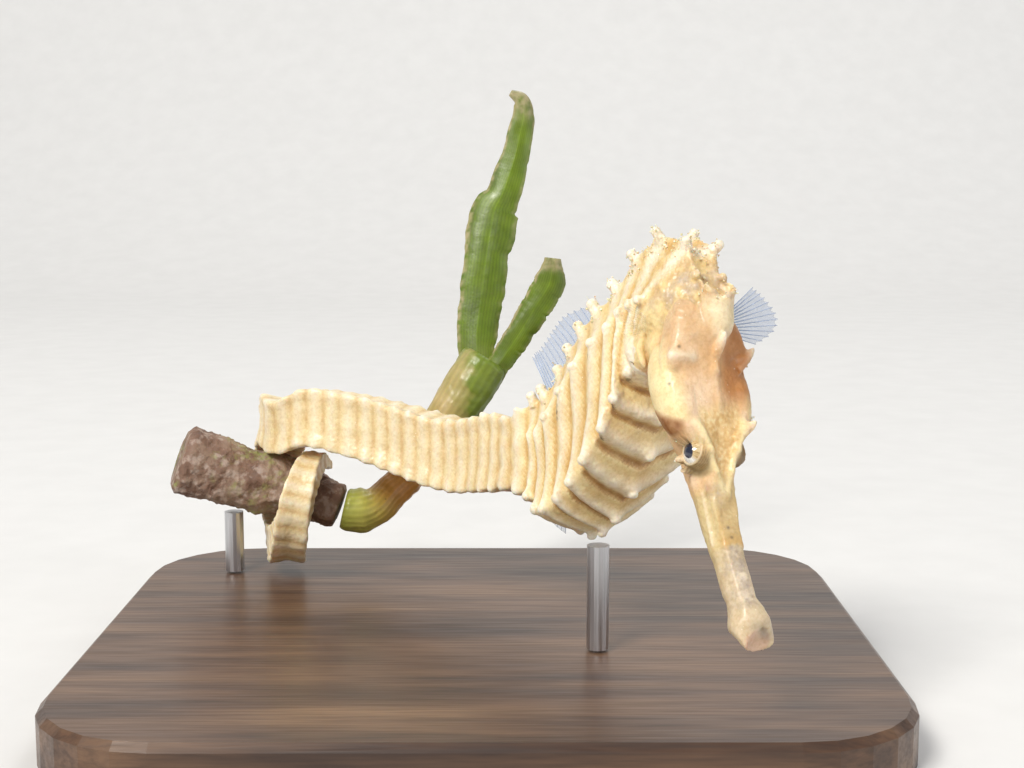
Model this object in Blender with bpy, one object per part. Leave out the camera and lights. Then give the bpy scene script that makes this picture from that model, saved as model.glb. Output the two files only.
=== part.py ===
"""A life-size model seahorse gripping a cut length of stem, on a plain display stand.

Sizes are millimetres in a view frame (X right, Y away, Z up) until to_world() tips and moves them
onto the stand. The origin is the middle of the underside of the base.
"""

import math

import bmesh
import bpy
import numpy as np
from mathutils import Vector

MM = 0.001
NAME = "seahorse_on_perch"

# The stand
TIP_ANGLE = math.radians(8.0)  # view frame to level floor
BASE_SIZE = (90.0, 78.0, 6.0)
BASE_CORNER = 14.0
BASE_CENTRE = (-3.5, 25.0)
BASE_TOP = -32.4  # height of the base's top face before the lift onto Z = 0
ROD_RADIUS = 1.25
PERCH_ROD_AT = (-33.5, 25.0)
BODY_ROD_AT = (13.1, -9.6)
GAP = 0.3

# The plane of symmetry of the head, trunk and tail base: across (animal's right) and back
SIDE = np.array((-0.85, -0.527, 0.0))
BACK = np.array((-0.527, 0.85, 0.0))
HEAD_ORIGIN = np.array((22.9, -8.0, -24.3))  # the mouth
TRUNK_ORIGIN = np.array((24.85, -6.8, 0.0))
HEAD_LEAN = math.radians(25.9)  # snout from straight down
HEAD_END = -30.6

# Head sections: distance from the mouth, half width, top, bottom
HEAD_SECTIONS = (
    (0.5, 1.9, 1.2, -1.5),
    (-1.0, 2.35, 2.0, -2.3),
    (-2.4, 2.1, 2.0, -2.1),
    (-4.2, 1.6, 1.65, -1.7),
    (-8.0, 1.55, 1.7, -1.75),
    (-12.0, 1.8, 1.95, -2.0),
    (-14.6, 2.2, 2.5, -2.4),
    (-16.8, 3.0, 3.6, -2.8),
    (-19.0, 3.8, 4.7, -3.2),
    (-21.5, 4.3, 5.7, -3.3),
    (-24.0, 4.9, 6.9, -3.0),
    (-27.0, 5.4, 8.0, -2.4),
    (-29.2, 5.4, 8.5, -1.9),
    (HEAD_END, 5.1, 8.5, -1.3),
)
SNOUT_CUT = -14.0
EYE = (-18.5, 2.6, 2.4)  # along, up, out
EYE_RADIUS = 1.6
CORONET = (-29.6, 8.0)
CORONET_SIZE = (4.6, 1.9, 2.1)  # height, radius at foot, radius at rim
CORONET_LEAN = math.radians(46.0)

# Nape and trunk rings: top (back, up), bottom (back, up), half width, shift to the animal's right
TRUNK_RINGS = (
    ((5.4, 7.6), (13.7, 2.6), 4.9, 2.3),
    ((6.6, 11.6), (13.9, 3.9), 4.8, 2.1),
    ((8.9, 14.4), (14.3, 4.2), 5.1, 1.7),
    ((14.1, 15.4), (14.9, 2.2), 5.8, 1.1),
    ((18.5, 13.8), (15.7, -0.6), 6.5, 0.5),
    ((22.6, 11.0), (16.9, -4.2), 7.1, 0.1),
    ((26.2, 8.8), (19.2, -8.0), 7.4, 0.0),
    ((29.2, 6.4), (22.3, -12.2), 7.3, 0.0),
    ((32.0, 4.0), (25.2, -14.9), 6.9, 0.0),
    ((34.6, 1.5), (28.0, -16.7), 6.2, 0.0),
    ((37.4, -0.6), (31.0, -17.0), 5.5, 0.0),
    ((39.4, -1.9), (34.3, -15.4), 4.9, 0.0),
)
# Tail base: centre (X, Y, Z), half height
TAIL_POINTS = (
    ((3.6, 27.0, -8.4), 5.1),
    ((0.6, 32.2, -8.4), 5.05),
    ((-1.8, 35.8, -8.7), 4.9),
    ((-5.4, 39.5, -9.0), 4.7),
    ((-10.2, 42.8, -8.2), 4.6),
    ((-14.6, 44.8, -6.9), 4.5),
    ((-20.9, 46.6, -5.2), 4.2),
    ((-26.0, 48.6, -4.5), 3.95),
)
# The coil: angle round the stem (0 towards the viewer, 90 up), X of the middle of the tail, half height
COIL = (
    (78.0, -28.9, 3.8),
    (105.0, -30.7, 3.65),
    (140.0, -31.7, 3.45),
    (180.0, -32.0, 3.2),
    (225.0, -31.2, 2.95),
    (270.0, -29.9, 2.7),
    (315.0, -28.6, 2.5),
    (360.0, -27.4, 2.25),
    (395.0, -26.4, 1.8),
    (430.0, -25.3, 1.25),
    (460.0, -24.2, 0.7),
)
COIL_CLEAR = 0.72
TAIL_PITCH = (2.75, 1.5)  # ring spacing at the base and at the tip
RIDGE = 0.042  # how far a ring stands out, as a part of the half width
TAIL_CUTS = (0.0, 5.4, 11.5, 17.4, 21.6, 25.4, 29.2, 33.4)

# Perch: middle line (X, Y, Z) and radius; the stem ends and the green shoot starts at STEM_END
PERCH = (
    ((-44.0, 50.6, -9.6), 4.6),
    ((-40.0, 51.8, -11.0), 4.5),
    ((-35.0, 52.4, -12.7), 4.2),
    ((-29.6, 52.5, -13.6), 3.9),
    ((-25.4, 52.0, -15.2), 3.4),
    ((-21.9, 51.8, -16.6), 2.9),
    ((-18.6, 52.6, -16.4), 2.6),
    ((-15.8, 54.2, -14.0), 2.3),
    ((-12.6, 56.0, -10.6), 2.4),
    ((-9.4, 57.6, -5.6), 2.9),
    ((-5.8, 58.2, -0.4), 3.6),
    ((-3.4, 58.4, 3.4), 3.5),
)
STEM_END = 22.6  # along the middle line
# Blades: middle line (X, Y, Z) and half width; thickness
BLADE_LONG = (
    ((-4.6, 59.0, 1.6), 2.2),
    ((-4.8, 59.6, 6.5), 2.8),
    ((-4.2, 60.2, 12.0), 2.95),
    ((-3.6, 60.6, 17.0), 3.15),
    ((-2.9, 61.0, 21.5), 3.5),
    ((-2.1, 61.2, 24.7), 3.2),
    ((-1.0, 61.3, 27.2), 2.3),
    ((0.0, 61.4, 30.9), 2.05),
    ((0.7, 61.5, 34.2), 2.05),
    ((1.5, 61.5, 37.2), 1.9),
    ((1.6, 61.5, 40.2), 1.1),
)
BLADE_SHORT = (
    ((-2.6, 57.6, 1.4), 1.6),
    ((0.6, 57.2, 6.2), 1.8),
    ((3.3, 56.6, 10.6), 2.1),
    ((5.1, 56.2, 13.7), 2.1),
    ((5.5, 56.0, 17.0), 1.1),
)
BLADE_THICKNESS = 0.9

# Fins
FIN_THICKNESS = 0.55
DORSAL_FIN = (7.2, 10.9, 4.9)  # first and last ring, height
PECTORAL_ROOT = (11.4, 5.4)
PECTORAL_OUT = {"right": 5.7, "left": 5.9}
PECTORAL_REACH = {"right": 4.4, "left": 9.0}
ANAL_FIN = (11.0, 11.6, 2.2)


# ---------------------------------------------------------------- small maths


def unit(v):
    v = np.asarray(v, float)
    return v / np.linalg.norm(v, axis=-1, keepdims=True)


def smooth_curve(keys, values, at):
    """Catmull-Rom through values at keys, read at any number of places."""
    keys, values = np.asarray(keys, float), np.asarray(values, float)
    flat = values.reshape(len(keys), -1)
    slope = np.gradient(flat, keys, axis=0)
    at = np.clip(np.atleast_1d(at), keys[0], keys[-1])
    i = np.clip(np.searchsorted(keys, at, "right") - 1, 0, len(keys) - 2)
    step = (keys[i + 1] - keys[i])[:, None]
    t = (at[:, None] - keys[i][:, None]) / step
    out = (
        (2 * t**3 - 3 * t**2 + 1) * flat[i]
        + (t**3 - 2 * t**2 + t) * step * slope[i]
        + (3 * t**2 - 2 * t**3) * flat[i + 1]
        + (t**3 - t**2) * step * slope[i + 1]
    )
    return out.reshape((len(at),) + values.shape[1:])


def to_world(points):
    p = np.atleast_2d(np.asarray(points, float))
    c, s = math.cos(TIP_ANGLE), math.sin(TIP_ANGLE)
    lift = BASE_SIZE[2] - BASE_TOP
    x = p[:, 0] - BASE_CENTRE[0]
    y = p[:, 1] * c + p[:, 2] * s - BASE_CENTRE[1]
    return np.stack([x, y, -p[:, 1] * s + p[:, 2] * c + lift], 1)


def head_axes():
    lean_c, lean_s = math.cos(HEAD_LEAN), math.sin(HEAD_LEAN)
    along = -lean_s * BACK + np.array((0, 0, -lean_c))
    up = -lean_c * BACK + np.array((0, 0, lean_s))
    return along, up


def head_point(along, up, out=0.0):
    f, u = head_axes()
    return HEAD_ORIGIN + along * f + up * u + out * SIDE


def trunk_point(back, up, out=0.0):
    return TRUNK_ORIGIN + back * BACK + np.array((0, 0, up)) + out * SIDE


# ---------------------------------------------------------------- the spine


def stem_middle(x):
    """Middle and radius of the stem where it crosses X."""
    keys = [p[0][0] for p in PERCH]
    rows = [(*p[0], p[1]) for p in PERCH]
    return smooth_curve(keys, rows, x)


def spine_stations():
    """Control stations: middle, up direction, half height, half width, tail blend."""
    rows = []
    for top, bottom, half, shift in TRUNK_RINGS:
        a, b = trunk_point(*top, shift), trunk_point(*bottom, shift)
        rows.append((*((a + b) / 2), *unit(a - b), np.linalg.norm(a - b) / 2, half, 0.0))
    for i, (middle, half) in enumerate(TAIL_POINTS):
        up = unit(BACK * max(0.0, 0.22 - 0.14 * i) + np.array((0, 0, 1.0)))
        rows.append((*middle, *up, half, half * 0.93, min(1.0, 0.6 + 0.2 * i)))
    for angle, x, half in COIL:
        a = math.radians(angle)
        x0, y0, z0, radius = stem_middle(x)[0]
        out = np.array((0.0, -math.cos(a), math.sin(a)))
        middle = np.array((x, y0, z0)) + out * (radius + half + GAP + COIL_CLEAR)
        rows.append((*middle, *out, half, half * 0.98, 1.0))
    return np.array(rows)


def spine_table():
    """Stations by ring number: 0 is where the head ends, 11 the last trunk ring, then the tail."""
    rows = spine_stations()
    steps = np.linalg.norm(np.diff(rows[:, :3], axis=0), axis=1)
    trunk = len(TRUNK_RINGS)
    ring = list(range(trunk))
    length = np.concatenate([[0.0], np.cumsum(steps[trunk - 1:])])
    pitch = TAIL_PITCH[0] + (TAIL_PITCH[1] - TAIL_PITCH[0]) * length / length[-1]
    tail = np.concatenate([[0.0], np.cumsum(np.diff(length) / (pitch[:-1] + pitch[1:]) * 2)])
    ring += list(trunk - 1 + tail[1:])
    return np.array(ring), rows


RING, ROWS = spine_table()
LAST_RING = float(RING[-1])


def station(ring):
    row = smooth_curve(RING, ROWS, ring)[0]
    ring = min(max(ring, 0.02), LAST_RING - 0.02)
    ahead = smooth_curve(RING, ROWS[:, :3], [ring - 0.02, ring + 0.02])
    travel = unit(ahead[1] - ahead[0])
    up = unit(row[3:6])
    side = unit(np.cross(up, travel))
    return row[:3], up, side, travel, row[6], row[7], row[8]


# Section corners, bottom to top on one side: (out, up) as parts of the half sizes
TRUNK_SECTION = ((0, -1), (0.56, -0.84), (1.0, -0.6), (0.85, -0.1), (0.76, 0.44), (0.56, 0.74), (0.40, 1.0), (0, 0.92))
TAIL_SECTION = ((0, -0.86), (0.5, -0.88), (0.93, -0.86), (0.9, -0.3), (0.88, 0.1), (0.88, 0.5), (0.86, 0.93), (0, 0.85))


CORNERS = np.array((0.7, 0.2, 1.5, 0.3, 1.4, 0.3, 1.6, 0.2))  # how much of a ridge each point takes
TOP_POINT = len(TRUNK_SECTION) - 1  # the middle of the back in a section


def section(ring, swell):
    """One closed ring of 14 points round the body."""
    middle, up, side, travel, half_up, half_out, blend = station(ring)
    half = (1 - blend) * np.array(TRUNK_SECTION) + blend * np.array(TAIL_SECTION)
    half = half * (1.0 + swell * CORNERS[:, None])
    shape = np.vstack([half, half[-2:0:-1] * (-1, 1)])
    slant = 0.14 * (1 - blend)
    flat = shape[:, :1] * half_out * side + shape[:, 1:] * half_up * (up - slant * travel)
    return middle + flat


def ring_stops(first, last):
    """Places for sections: each ring's ridge and the hollow between, and both ends."""
    stops = [first]
    at = math.ceil(first * 2 + 0.3) / 2
    while at < last - 0.15:
        stops.append(at)
        at += 0.5
    return stops + [last]


# ---------------------------------------------------------------- meshes and materials


def material(name, colour, rough=0.5):
    m = bpy.data.materials.new(name)
    m.use_nodes = True
    shader = m.node_tree.nodes["Principled BSDF"]
    shader.inputs["Base Color"].default_value = (*colour, 1.0)
    shader.inputs["Roughness"].default_value = rough
    m.diffuse_color = (*colour, 1.0)
    return m


def add_object(name, points, faces, mat, collection):
    """A closed mesh from view-frame points, with its faces turned outward."""
    mesh = bpy.data.meshes.new(name)
    mesh.from_pydata([tuple(p * MM) for p in to_world(points)], [], [list(f) for f in faces])
    mesh.materials.append(mat)
    obj = bpy.data.objects.new(name, mesh)
    collection.objects.link(obj)
    bm = bmesh.new()
    bm.from_mesh(mesh)
    bmesh.ops.recalc_face_normals(bm, faces=bm.faces)
    bmesh.ops.triangulate(bm, faces=bm.faces)
    if bm.calc_volume(signed=True) < 0:
        bmesh.ops.reverse_faces(bm, faces=bm.faces)
    bm.to_mesh(mesh)
    bm.free()
    return obj


def loft(sections):
    """Points and faces of a closed loft, its ends filled from a middle point."""
    n = len(sections[0])
    points = [p for s in sections for p in s]
    faces = []
    for i in range(len(sections) - 1):
        for j in range(n):
            k = (j + 1) % n
            faces.append((i * n + j, i * n + k, (i + 1) * n + k, (i + 1) * n + j))
    for s, base in ((sections[0], 0), (sections[-1], (len(sections) - 1) * n)):
        points.append(np.mean(s, axis=0))
        middle = len(points) - 1
        faces += [(base + j, base + (j + 1) % n, middle) for j in range(n)]
    return np.array(points), faces


def union(target, tools):
    """Joins helper meshes to a part with exact Booleans, and removes the helpers."""
    for tool in tools:
        mod = target.modifiers.new("join", "BOOLEAN")
        mod.operation, mod.solver, mod.object = "UNION", "EXACT", tool
        bake(target)
        bpy.data.objects.remove(tool, do_unlink=True)


def cut(target, tool):
    mod = target.modifiers.new("cut", "BOOLEAN")
    mod.operation, mod.solver, mod.object = "DIFFERENCE", "EXACT", tool
    bake(target)


def bake(obj):
    """Puts the evaluated shape into the object's own mesh."""
    graph = bpy.context.evaluated_depsgraph_get()
    mesh = bpy.data.meshes.new_from_object(obj.evaluated_get(graph))
    obj.modifiers.clear()
    obj.data = mesh


def knob(at, out, length, radius, mat, collection, name="knob"):
    """A blunt spine of six sides, standing on a surface."""
    out = unit(out)
    a = unit(np.cross(out, (0.3, 0.2, 0.93)))
    b = np.cross(out, a)
    rings = []
    for up, wide in ((-1.1 * length, 1.1), (0.45 * length, 0.8), (length, 0.45)):
        turn = [2 * math.pi * i / 6 for i in range(6)]
        rings.append([at + out * up + radius * wide * (math.cos(t) * a + math.sin(t) * b) for t in turn])
    return add_object(name, *loft([np.array(r) for r in rings]), mat, collection)


# ---------------------------------------------------------------- the animal


def head_section(along, sides=16, grow=0.0):
    rows = [(w, t, b) for _, w, t, b in HEAD_SECTIONS][::-1]
    keys = [s[0] for s in HEAD_SECTIONS][::-1]
    wide, top, bottom = smooth_curve(keys, rows, along)[0]
    bulge = max(0.0, min(1.0, (-along - 15.0) / 9.0))
    points = []
    for i in range(sides):
        t = 2 * math.pi * i / sides
        out = math.sin(t)
        up = -math.cos(t)
        square = 1.0 + bulge * 0.32 * max(0.0, up) * abs(out)
        width = wide * square * (1.0 - bulge * 0.12 * max(0.0, -up)) + grow
        points.append(head_point(along, (top + bottom) / 2 + ((top - bottom) / 2 + grow) * up, width * out))
    return np.array(points)


def build_head(mat, collection):
    stops = [SNOUT_CUT - GAP, -15.4, -16.8, -18.4, -20.0, -21.8, -24.0, -26.2, -28.2, HEAD_END]
    head = add_object("head", *loft([head_section(a) for a in stops]), mat, collection)
    tools = []
    for side in (1, -1):
        tools.append(knob(head_point(-20.4, 4.2, side * 3.5), head_axes()[1] * 0.55 + side * SIDE, 1.7, 0.95, mat, collection))
        tools.append(knob(head_point(-27.0, 6.3, side * 4.1), head_axes()[1] * 0.35 + side * SIDE, 1.3, 0.9, mat, collection))
    tools.append(knob(head_point(-27.6, 8.0), head_axes()[1], 1.0, 0.7, mat, collection))
    union(head, tools)
    for side in (1, -1):
        socket = eye_ball("socket", side, EYE_RADIUS + GAP, mat, collection)
        cut(head, socket)
        bpy.data.objects.remove(socket, do_unlink=True)
    snout_stops = [0.5, -1.0, -2.4, -4.2, -8.0, -11.5, SNOUT_CUT]
    add_object("snout", *loft([head_section(a) for a in snout_stops]), mat, collection)


def eye_ball(name, side, radius, mat, collection):
    rings = []
    middle = head_point(EYE[0], EYE[1], side * EYE[2])
    f, u = head_axes()
    for i in range(1, 8):
        a = math.pi * i / 8
        turn = [2 * math.pi * j / 12 for j in range(12)]
        flat = radius * math.sin(a)
        rings.append(np.array([
            middle + side * SIDE * radius * math.cos(a) + flat * (math.cos(t) * f + math.sin(t) * u) for t in turn
        ]))
    return add_object(name, *loft(rings), mat, collection)


def clear_nape(mat, collection):
    """Room for the back of the head in the nape."""
    stops = [-26.0, -28.2, HEAD_END - GAP]
    room = add_object("room", *loft([head_section(a, grow=GAP) for a in stops]), mat, collection)
    cut(bpy.data.objects["nape"], room)
    bpy.data.objects.remove(room, do_unlink=True)


def build_coronet(mat, collection):
    """The crown, and the room for it in the nape behind."""
    coronet_shape("coronet", 0.0, mat, collection)
    room = coronet_shape("room", GAP, mat, collection)
    cut(bpy.data.objects["nape"], room)
    bpy.data.objects.remove(room, do_unlink=True)


def coronet_shape(name, grow, mat, collection):
    f, u = head_axes()
    axis = unit(math.cos(CORONET_LEAN) * u - math.sin(CORONET_LEAN) * f)
    across = unit(np.cross(axis, SIDE))
    height, foot, rim = CORONET_SIZE
    rings = []
    stops = ((1.5 - grow, foot), (0.55 * height, foot * 0.9), (0.85 * height, rim), (height + grow, rim * 0.8))
    for up, wide in stops:
        wide += grow
        middle = head_point(*CORONET) + axis * up
        turn = [2 * math.pi * i / 10 for i in range(10)]
        rings.append(np.array([middle + wide * (math.cos(t) * across + math.sin(t) * SIDE) for t in turn]))
    return add_object(name, *loft(rings), mat, collection)


def build_body(mat, collection):
    """Nape, trunk and tail lengths, cut apart by thin gaps."""
    trunk = [("nape", 0.0, 3.5), ("trunk_front", 3.5, 7.5), ("trunk_rear", 7.5, 11.5)]
    tail = [11.5 + c for c in TAIL_CUTS]
    tail[-1] = LAST_RING
    names = ["tail_base", "tail_middle", "tail_bend", "tail_over", "tail_behind", "tail_under", "tail_tip"]
    lengths = trunk + [(n, tail[i], tail[i + 1]) for i, n in enumerate(names)]
    for name, first, last in lengths:
        sections = []
        for at in ring_stops(first, last):
            near = math.cos(2 * math.pi * at)
            shift = 0.0
            here = at
            if at == first or at == last:
                pitch = np.linalg.norm(station(at + 0.05)[0] - station(at - 0.05)[0]) / 0.1
                if not (at == LAST_RING or at == 0.0):
                    shift = GAP / 2 / pitch * (1 if at == first else -1)
                here = at + shift
            sections.append(section(here, RIDGE * near))
        add_object(name, *loft(sections), mat, collection)


# ---------------------------------------------------------------- fins


def slab(outline, normal, thickness):
    """A flat plate from an outline, thickened both ways along its normal."""
    n = unit(normal) * thickness / 2
    outline = np.array(outline)
    count = len(outline)
    points = np.vstack([outline + n, outline - n])
    faces = [tuple(range(count)), tuple(range(2 * count - 1, count - 1, -1))]
    faces += [(i, (i + 1) % count, (i + 1) % count + count, i + count) for i in range(count)]
    return points, faces


def build_fins(mat, collection):
    first, last, height = DORSAL_FIN
    base, tips = [], []
    for i in range(9):
        t = i / 8
        ring = first + (last - first) * t
        _, up, _, travel, _, _, _ = station(ring)
        foot = section(ring, RIDGE)[TOP_POINT] + up * (GAP + 0.1)
        reach = height * (0.66 + 0.34 * math.sin(math.pi * min(1.0, 0.25 + t * 0.8)))
        base.append(foot)
        tips.append(foot + unit(up + (0.1 + 0.55 * t) * travel) * reach)
    add_object("dorsal_fin", *slab(base + tips[::-1], SIDE, FIN_THICKNESS), mat, collection)

    first, last, height = ANAL_FIN
    ends = []
    for ring in (first, last):
        _, up, _, travel, _, _, _ = station(ring)
        foot = section(ring, RIDGE)[0] - up * (GAP + 0.1)
        ends += [foot, foot - unit(up - 0.6 * travel) * height]
    outline = [ends[0], ends[2], ends[3], ends[1]]
    add_object("anal_fin", *slab(outline, SIDE, FIN_THICKNESS), mat, collection)

    for name, side, lay in (("right", 1, 0.7), ("left", -1, 0.08)):
        root = trunk_point(*PECTORAL_ROOT, 1.8 + side * PECTORAL_OUT[name])
        outward = unit(side * SIDE * (1 - lay) + BACK * lay)
        high = np.array((0, 0, 1.0))
        edge = []
        for i in range(9):
            a = math.radians(-24 + 72 * i / 8)
            edge.append(root + PECTORAL_REACH[name] * (math.cos(a) * outward + math.sin(a) * high))
        outline = [root + 1.6 * high, root - 1.5 * high] + edge
        plate = slab(outline, np.cross(outward, high), FIN_THICKNESS)
        add_object("pectoral_fin_" + name, *plate, mat, collection)


# ---------------------------------------------------------------- perch and stand


def tube(rows, stops, sides=12, squash=1.0, first=0.0, last=None):
    """A bent rod through middles with radii; squash thins it away from the viewer."""
    keys = np.concatenate([[0.0], np.cumsum(np.linalg.norm(np.diff([r[0] for r in rows], axis=0), axis=1))])
    at = np.linspace(first, last or keys[-1], stops)
    values = [(*r[0], r[1]) for r in rows]
    table = smooth_curve(keys, values, at)
    near = np.clip(at, 0.05, keys[-1] - 0.05)
    ahead = unit((smooth_curve(keys, values, near + 0.05) - smooth_curve(keys, values, near - 0.05))[:, :3])
    sections = []
    for row, travel in zip(table, ahead):
        a = unit(np.cross(travel, (0.0, 1.0, 0.0)))
        b = np.cross(a, travel)
        turn = [2 * math.pi * i / sides for i in range(sides)]
        thin = squash if squash == 1.0 else squash / row[3]
        sections.append(np.array([row[:3] + row[3] * (math.cos(t) * a + math.sin(t) * thin * b) for t in turn]))
    return loft(sections)


def build_perch(stem, leaf, collection):
    add_object("perch_stem", *tube(PERCH, 9, last=STEM_END), stem, collection)
    shoot = add_object("perch_shoot", *tube(PERCH, 12, first=STEM_END + GAP * 1.6), leaf, collection)
    blades = [
        add_object("blade", *tube(rows, stops, 10, BLADE_THICKNESS / 2), leaf, collection)
        for rows, stops in ((BLADE_LONG, 13), (BLADE_SHORT, 7))
    ]
    union(shoot, blades)


def build_stand(wood, steel, collection):
    """Base with rounded corners, made level, and two upright rods."""
    bpy.ops.mesh.primitive_cube_add(size=1)
    base = bpy.context.object
    base.name = base.data.name = "stand_base"
    for v in base.data.vertices:
        v.co = Vector((v.co.x * BASE_SIZE[0], v.co.y * BASE_SIZE[1], (v.co.z + 0.5) * BASE_SIZE[2])) * MM
    bevel_edges(base, BASE_CORNER * MM, 6, upright=True)
    bevel_edges(base, 0.8 * MM, 1, upright=False)
    base.data.materials.append(wood)
    move_to(base, collection)
    for name, (x, y), targets in (
        ("stand_rod_perch", PERCH_ROD_AT, ("perch_stem",)),
        ("stand_rod_body", BODY_ROD_AT, ("trunk_rear", "trunk_front")),
    ):
        top = underside(x, y, targets) - GAP * MM
        foot = (BASE_SIZE[2] + GAP) * MM
        bpy.ops.mesh.primitive_cylinder_add(
            vertices=16, radius=ROD_RADIUS * MM, depth=top - foot, location=(x * MM, y * MM, (top + foot) / 2)
        )
        rod = bpy.context.object
        rod.name = rod.data.name = name
        rod.data.materials.append(steel)
        move_to(rod, collection)


def underside(x, y, targets):
    """Lowest height of the named parts over a rod at x, y."""
    heights = []
    for name in targets:
        part = bpy.data.objects[name]
        for i in range(9):
            reach = ROD_RADIUS if i else 0.0
            a = 2 * math.pi * i / 8
            start = Vector(((x + reach * math.cos(a)) * MM, (y + reach * math.sin(a)) * MM, BASE_SIZE[2] * MM))
            hit, place, _, _ = part.ray_cast(start, Vector((0, 0, 1)))
            if hit:
                heights.append(place.z)
    return min(heights)


def bevel_edges(obj, width, segments, upright):
    bm = bmesh.new()
    bm.from_mesh(obj.data)
    high = max(v.co.z for v in bm.verts)
    if upright:
        edges = [e for e in bm.edges if abs((e.verts[0].co - e.verts[1].co).normalized().z) > 0.9]
    else:
        edges = [e for e in bm.edges if all(v.co.z > high - 1e-6 for v in e.verts)]
    bmesh.ops.bevel(bm, geom=edges, offset=width, segments=segments, profile=0.5, affect="EDGES")
    bm.to_mesh(obj.data)
    bm.free()


def move_to(obj, collection):
    for c in list(obj.users_collection):
        c.objects.unlink(obj)
    collection.objects.link(obj)


def main():
    for obj in list(bpy.data.objects):
        bpy.data.objects.remove(obj, do_unlink=True)
    collection = bpy.data.collections.new(NAME)
    bpy.context.scene.collection.children.link(collection)
    skin = material("skin_cream", (0.78, 0.66, 0.45))
    build_head(skin, collection)
    build_body(skin, collection)
    clear_nape(skin, collection)
    build_coronet(material("skin_pale", (0.83, 0.74, 0.56)), collection)
    dark = material("eye_dark", (0.03, 0.03, 0.035), 0.1)
    eye_ball("eye_right", 1, EYE_RADIUS, dark, collection)
    eye_ball("eye_left", -1, EYE_RADIUS, dark, collection)
    build_fins(material("fin_clear", (0.75, 0.78, 0.82), 0.25), collection)
    build_perch(
        material("stem_brown", (0.42, 0.30, 0.20), 0.8), material("leaf_green", (0.30, 0.42, 0.08), 0.6), collection
    )
    build_stand(
        material("base_wood", (0.16, 0.09, 0.05), 0.4), material("rod_steel", (0.6, 0.6, 0.62), 0.3), collection
    )


main()
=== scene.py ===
"""Looks of a life-size display model: a seahorse gripping a cut plant stem, on a stand.

The animal's skin is one mesh, built from its bony rings, head and knobs and then refined.
Sizes are millimetres in a view frame (X right, Y away, Z up); to_world() sets them on the stand.
"""

from __future__ import annotations

import logging
import math
from dataclasses import dataclass, field
from enum import Enum

import bpy
import numpy as np
from mathutils import Matrix, Vector
from mathutils.kdtree import KDTree


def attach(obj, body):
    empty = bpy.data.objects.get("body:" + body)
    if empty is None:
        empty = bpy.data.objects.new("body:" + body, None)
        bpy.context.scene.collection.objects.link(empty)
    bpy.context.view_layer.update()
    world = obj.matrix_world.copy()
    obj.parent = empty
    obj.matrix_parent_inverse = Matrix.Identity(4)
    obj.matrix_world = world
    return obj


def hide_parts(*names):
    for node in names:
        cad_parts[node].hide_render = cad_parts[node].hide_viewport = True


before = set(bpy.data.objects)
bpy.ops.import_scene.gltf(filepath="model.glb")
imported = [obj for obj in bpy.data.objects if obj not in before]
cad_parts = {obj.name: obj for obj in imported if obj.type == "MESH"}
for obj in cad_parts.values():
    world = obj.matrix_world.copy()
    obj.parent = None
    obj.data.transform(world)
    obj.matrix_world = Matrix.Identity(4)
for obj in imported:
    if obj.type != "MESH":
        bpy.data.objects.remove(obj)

Array = np.ndarray
Point = tuple[float, float, float]
Colour = tuple[float, float, float]
Path = tuple[tuple[Point, float], ...]
Material = bpy.types.Material
Mesh = bpy.types.Mesh
Piece = bpy.types.Object
Socket = bpy.types.NodeSocket

LOG = logging.getLogger("seahorse")

MM = 0.001
TIP_ANGLE = math.radians(8.0)
BASE_HEIGHT = 6.0
BASE_TOP = -32.4
BASE_CENTRE = (-3.5, 25.0)
GAP = 0.3
UP = np.array((0.0, 0.0, 1.0))

# The plane of symmetry of head and trunk: across (animal's right) and back
SIDE = np.array((-0.85, -0.527, 0.0))
BACK = np.array((-0.527, 0.85, 0.0))
HEAD_ORIGIN = np.array((22.9, -8.0, -24.3))
TRUNK_ORIGIN = np.array((24.85, -6.8, 0.0))
HEAD_LEAN = math.radians(25.9)
ALONG = -math.sin(HEAD_LEAN) * BACK - math.cos(HEAD_LEAN) * UP
CROWNWARD = -math.cos(HEAD_LEAN) * BACK + math.sin(HEAD_LEAN) * UP
HEAD_AXES = np.array((ALONG, CROWNWARD, SIDE))


# ---------------------------------------------------------------- small maths


def unit(v: Array) -> Array:
    """Vectors scaled to length one."""
    v = np.asarray(v, float)
    return v / np.maximum(np.linalg.norm(v, axis=-1, keepdims=True), 1e-12)


def ease(low: float, high: float, x: Array | float) -> Array:
    """Smooth step from 0 at low to 1 at high."""
    t = np.clip((np.asarray(x, float) - low) / (high - low), 0.0, 1.0)
    return t * t * (3 - 2 * t)


def bell(x: Array, width: float) -> Array:
    """Rounded hump, 1 at 0 and about 0.37 at the given width."""
    return np.exp(-((np.asarray(x, float) / width) ** 2))


def lengths(path: Array) -> Array:
    """Length along a path at each of its points."""
    return np.concatenate([[0.0], np.cumsum(np.linalg.norm(np.diff(path, axis=0), axis=1))])


def apart(points: Array, place: Array | Point, stretch: Point = (1, 1, 1)) -> Array:
    """Distance of each point from a place, each axis counted by its stretch."""
    return np.linalg.norm((points - np.asarray(place)) * stretch, axis=1)


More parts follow.
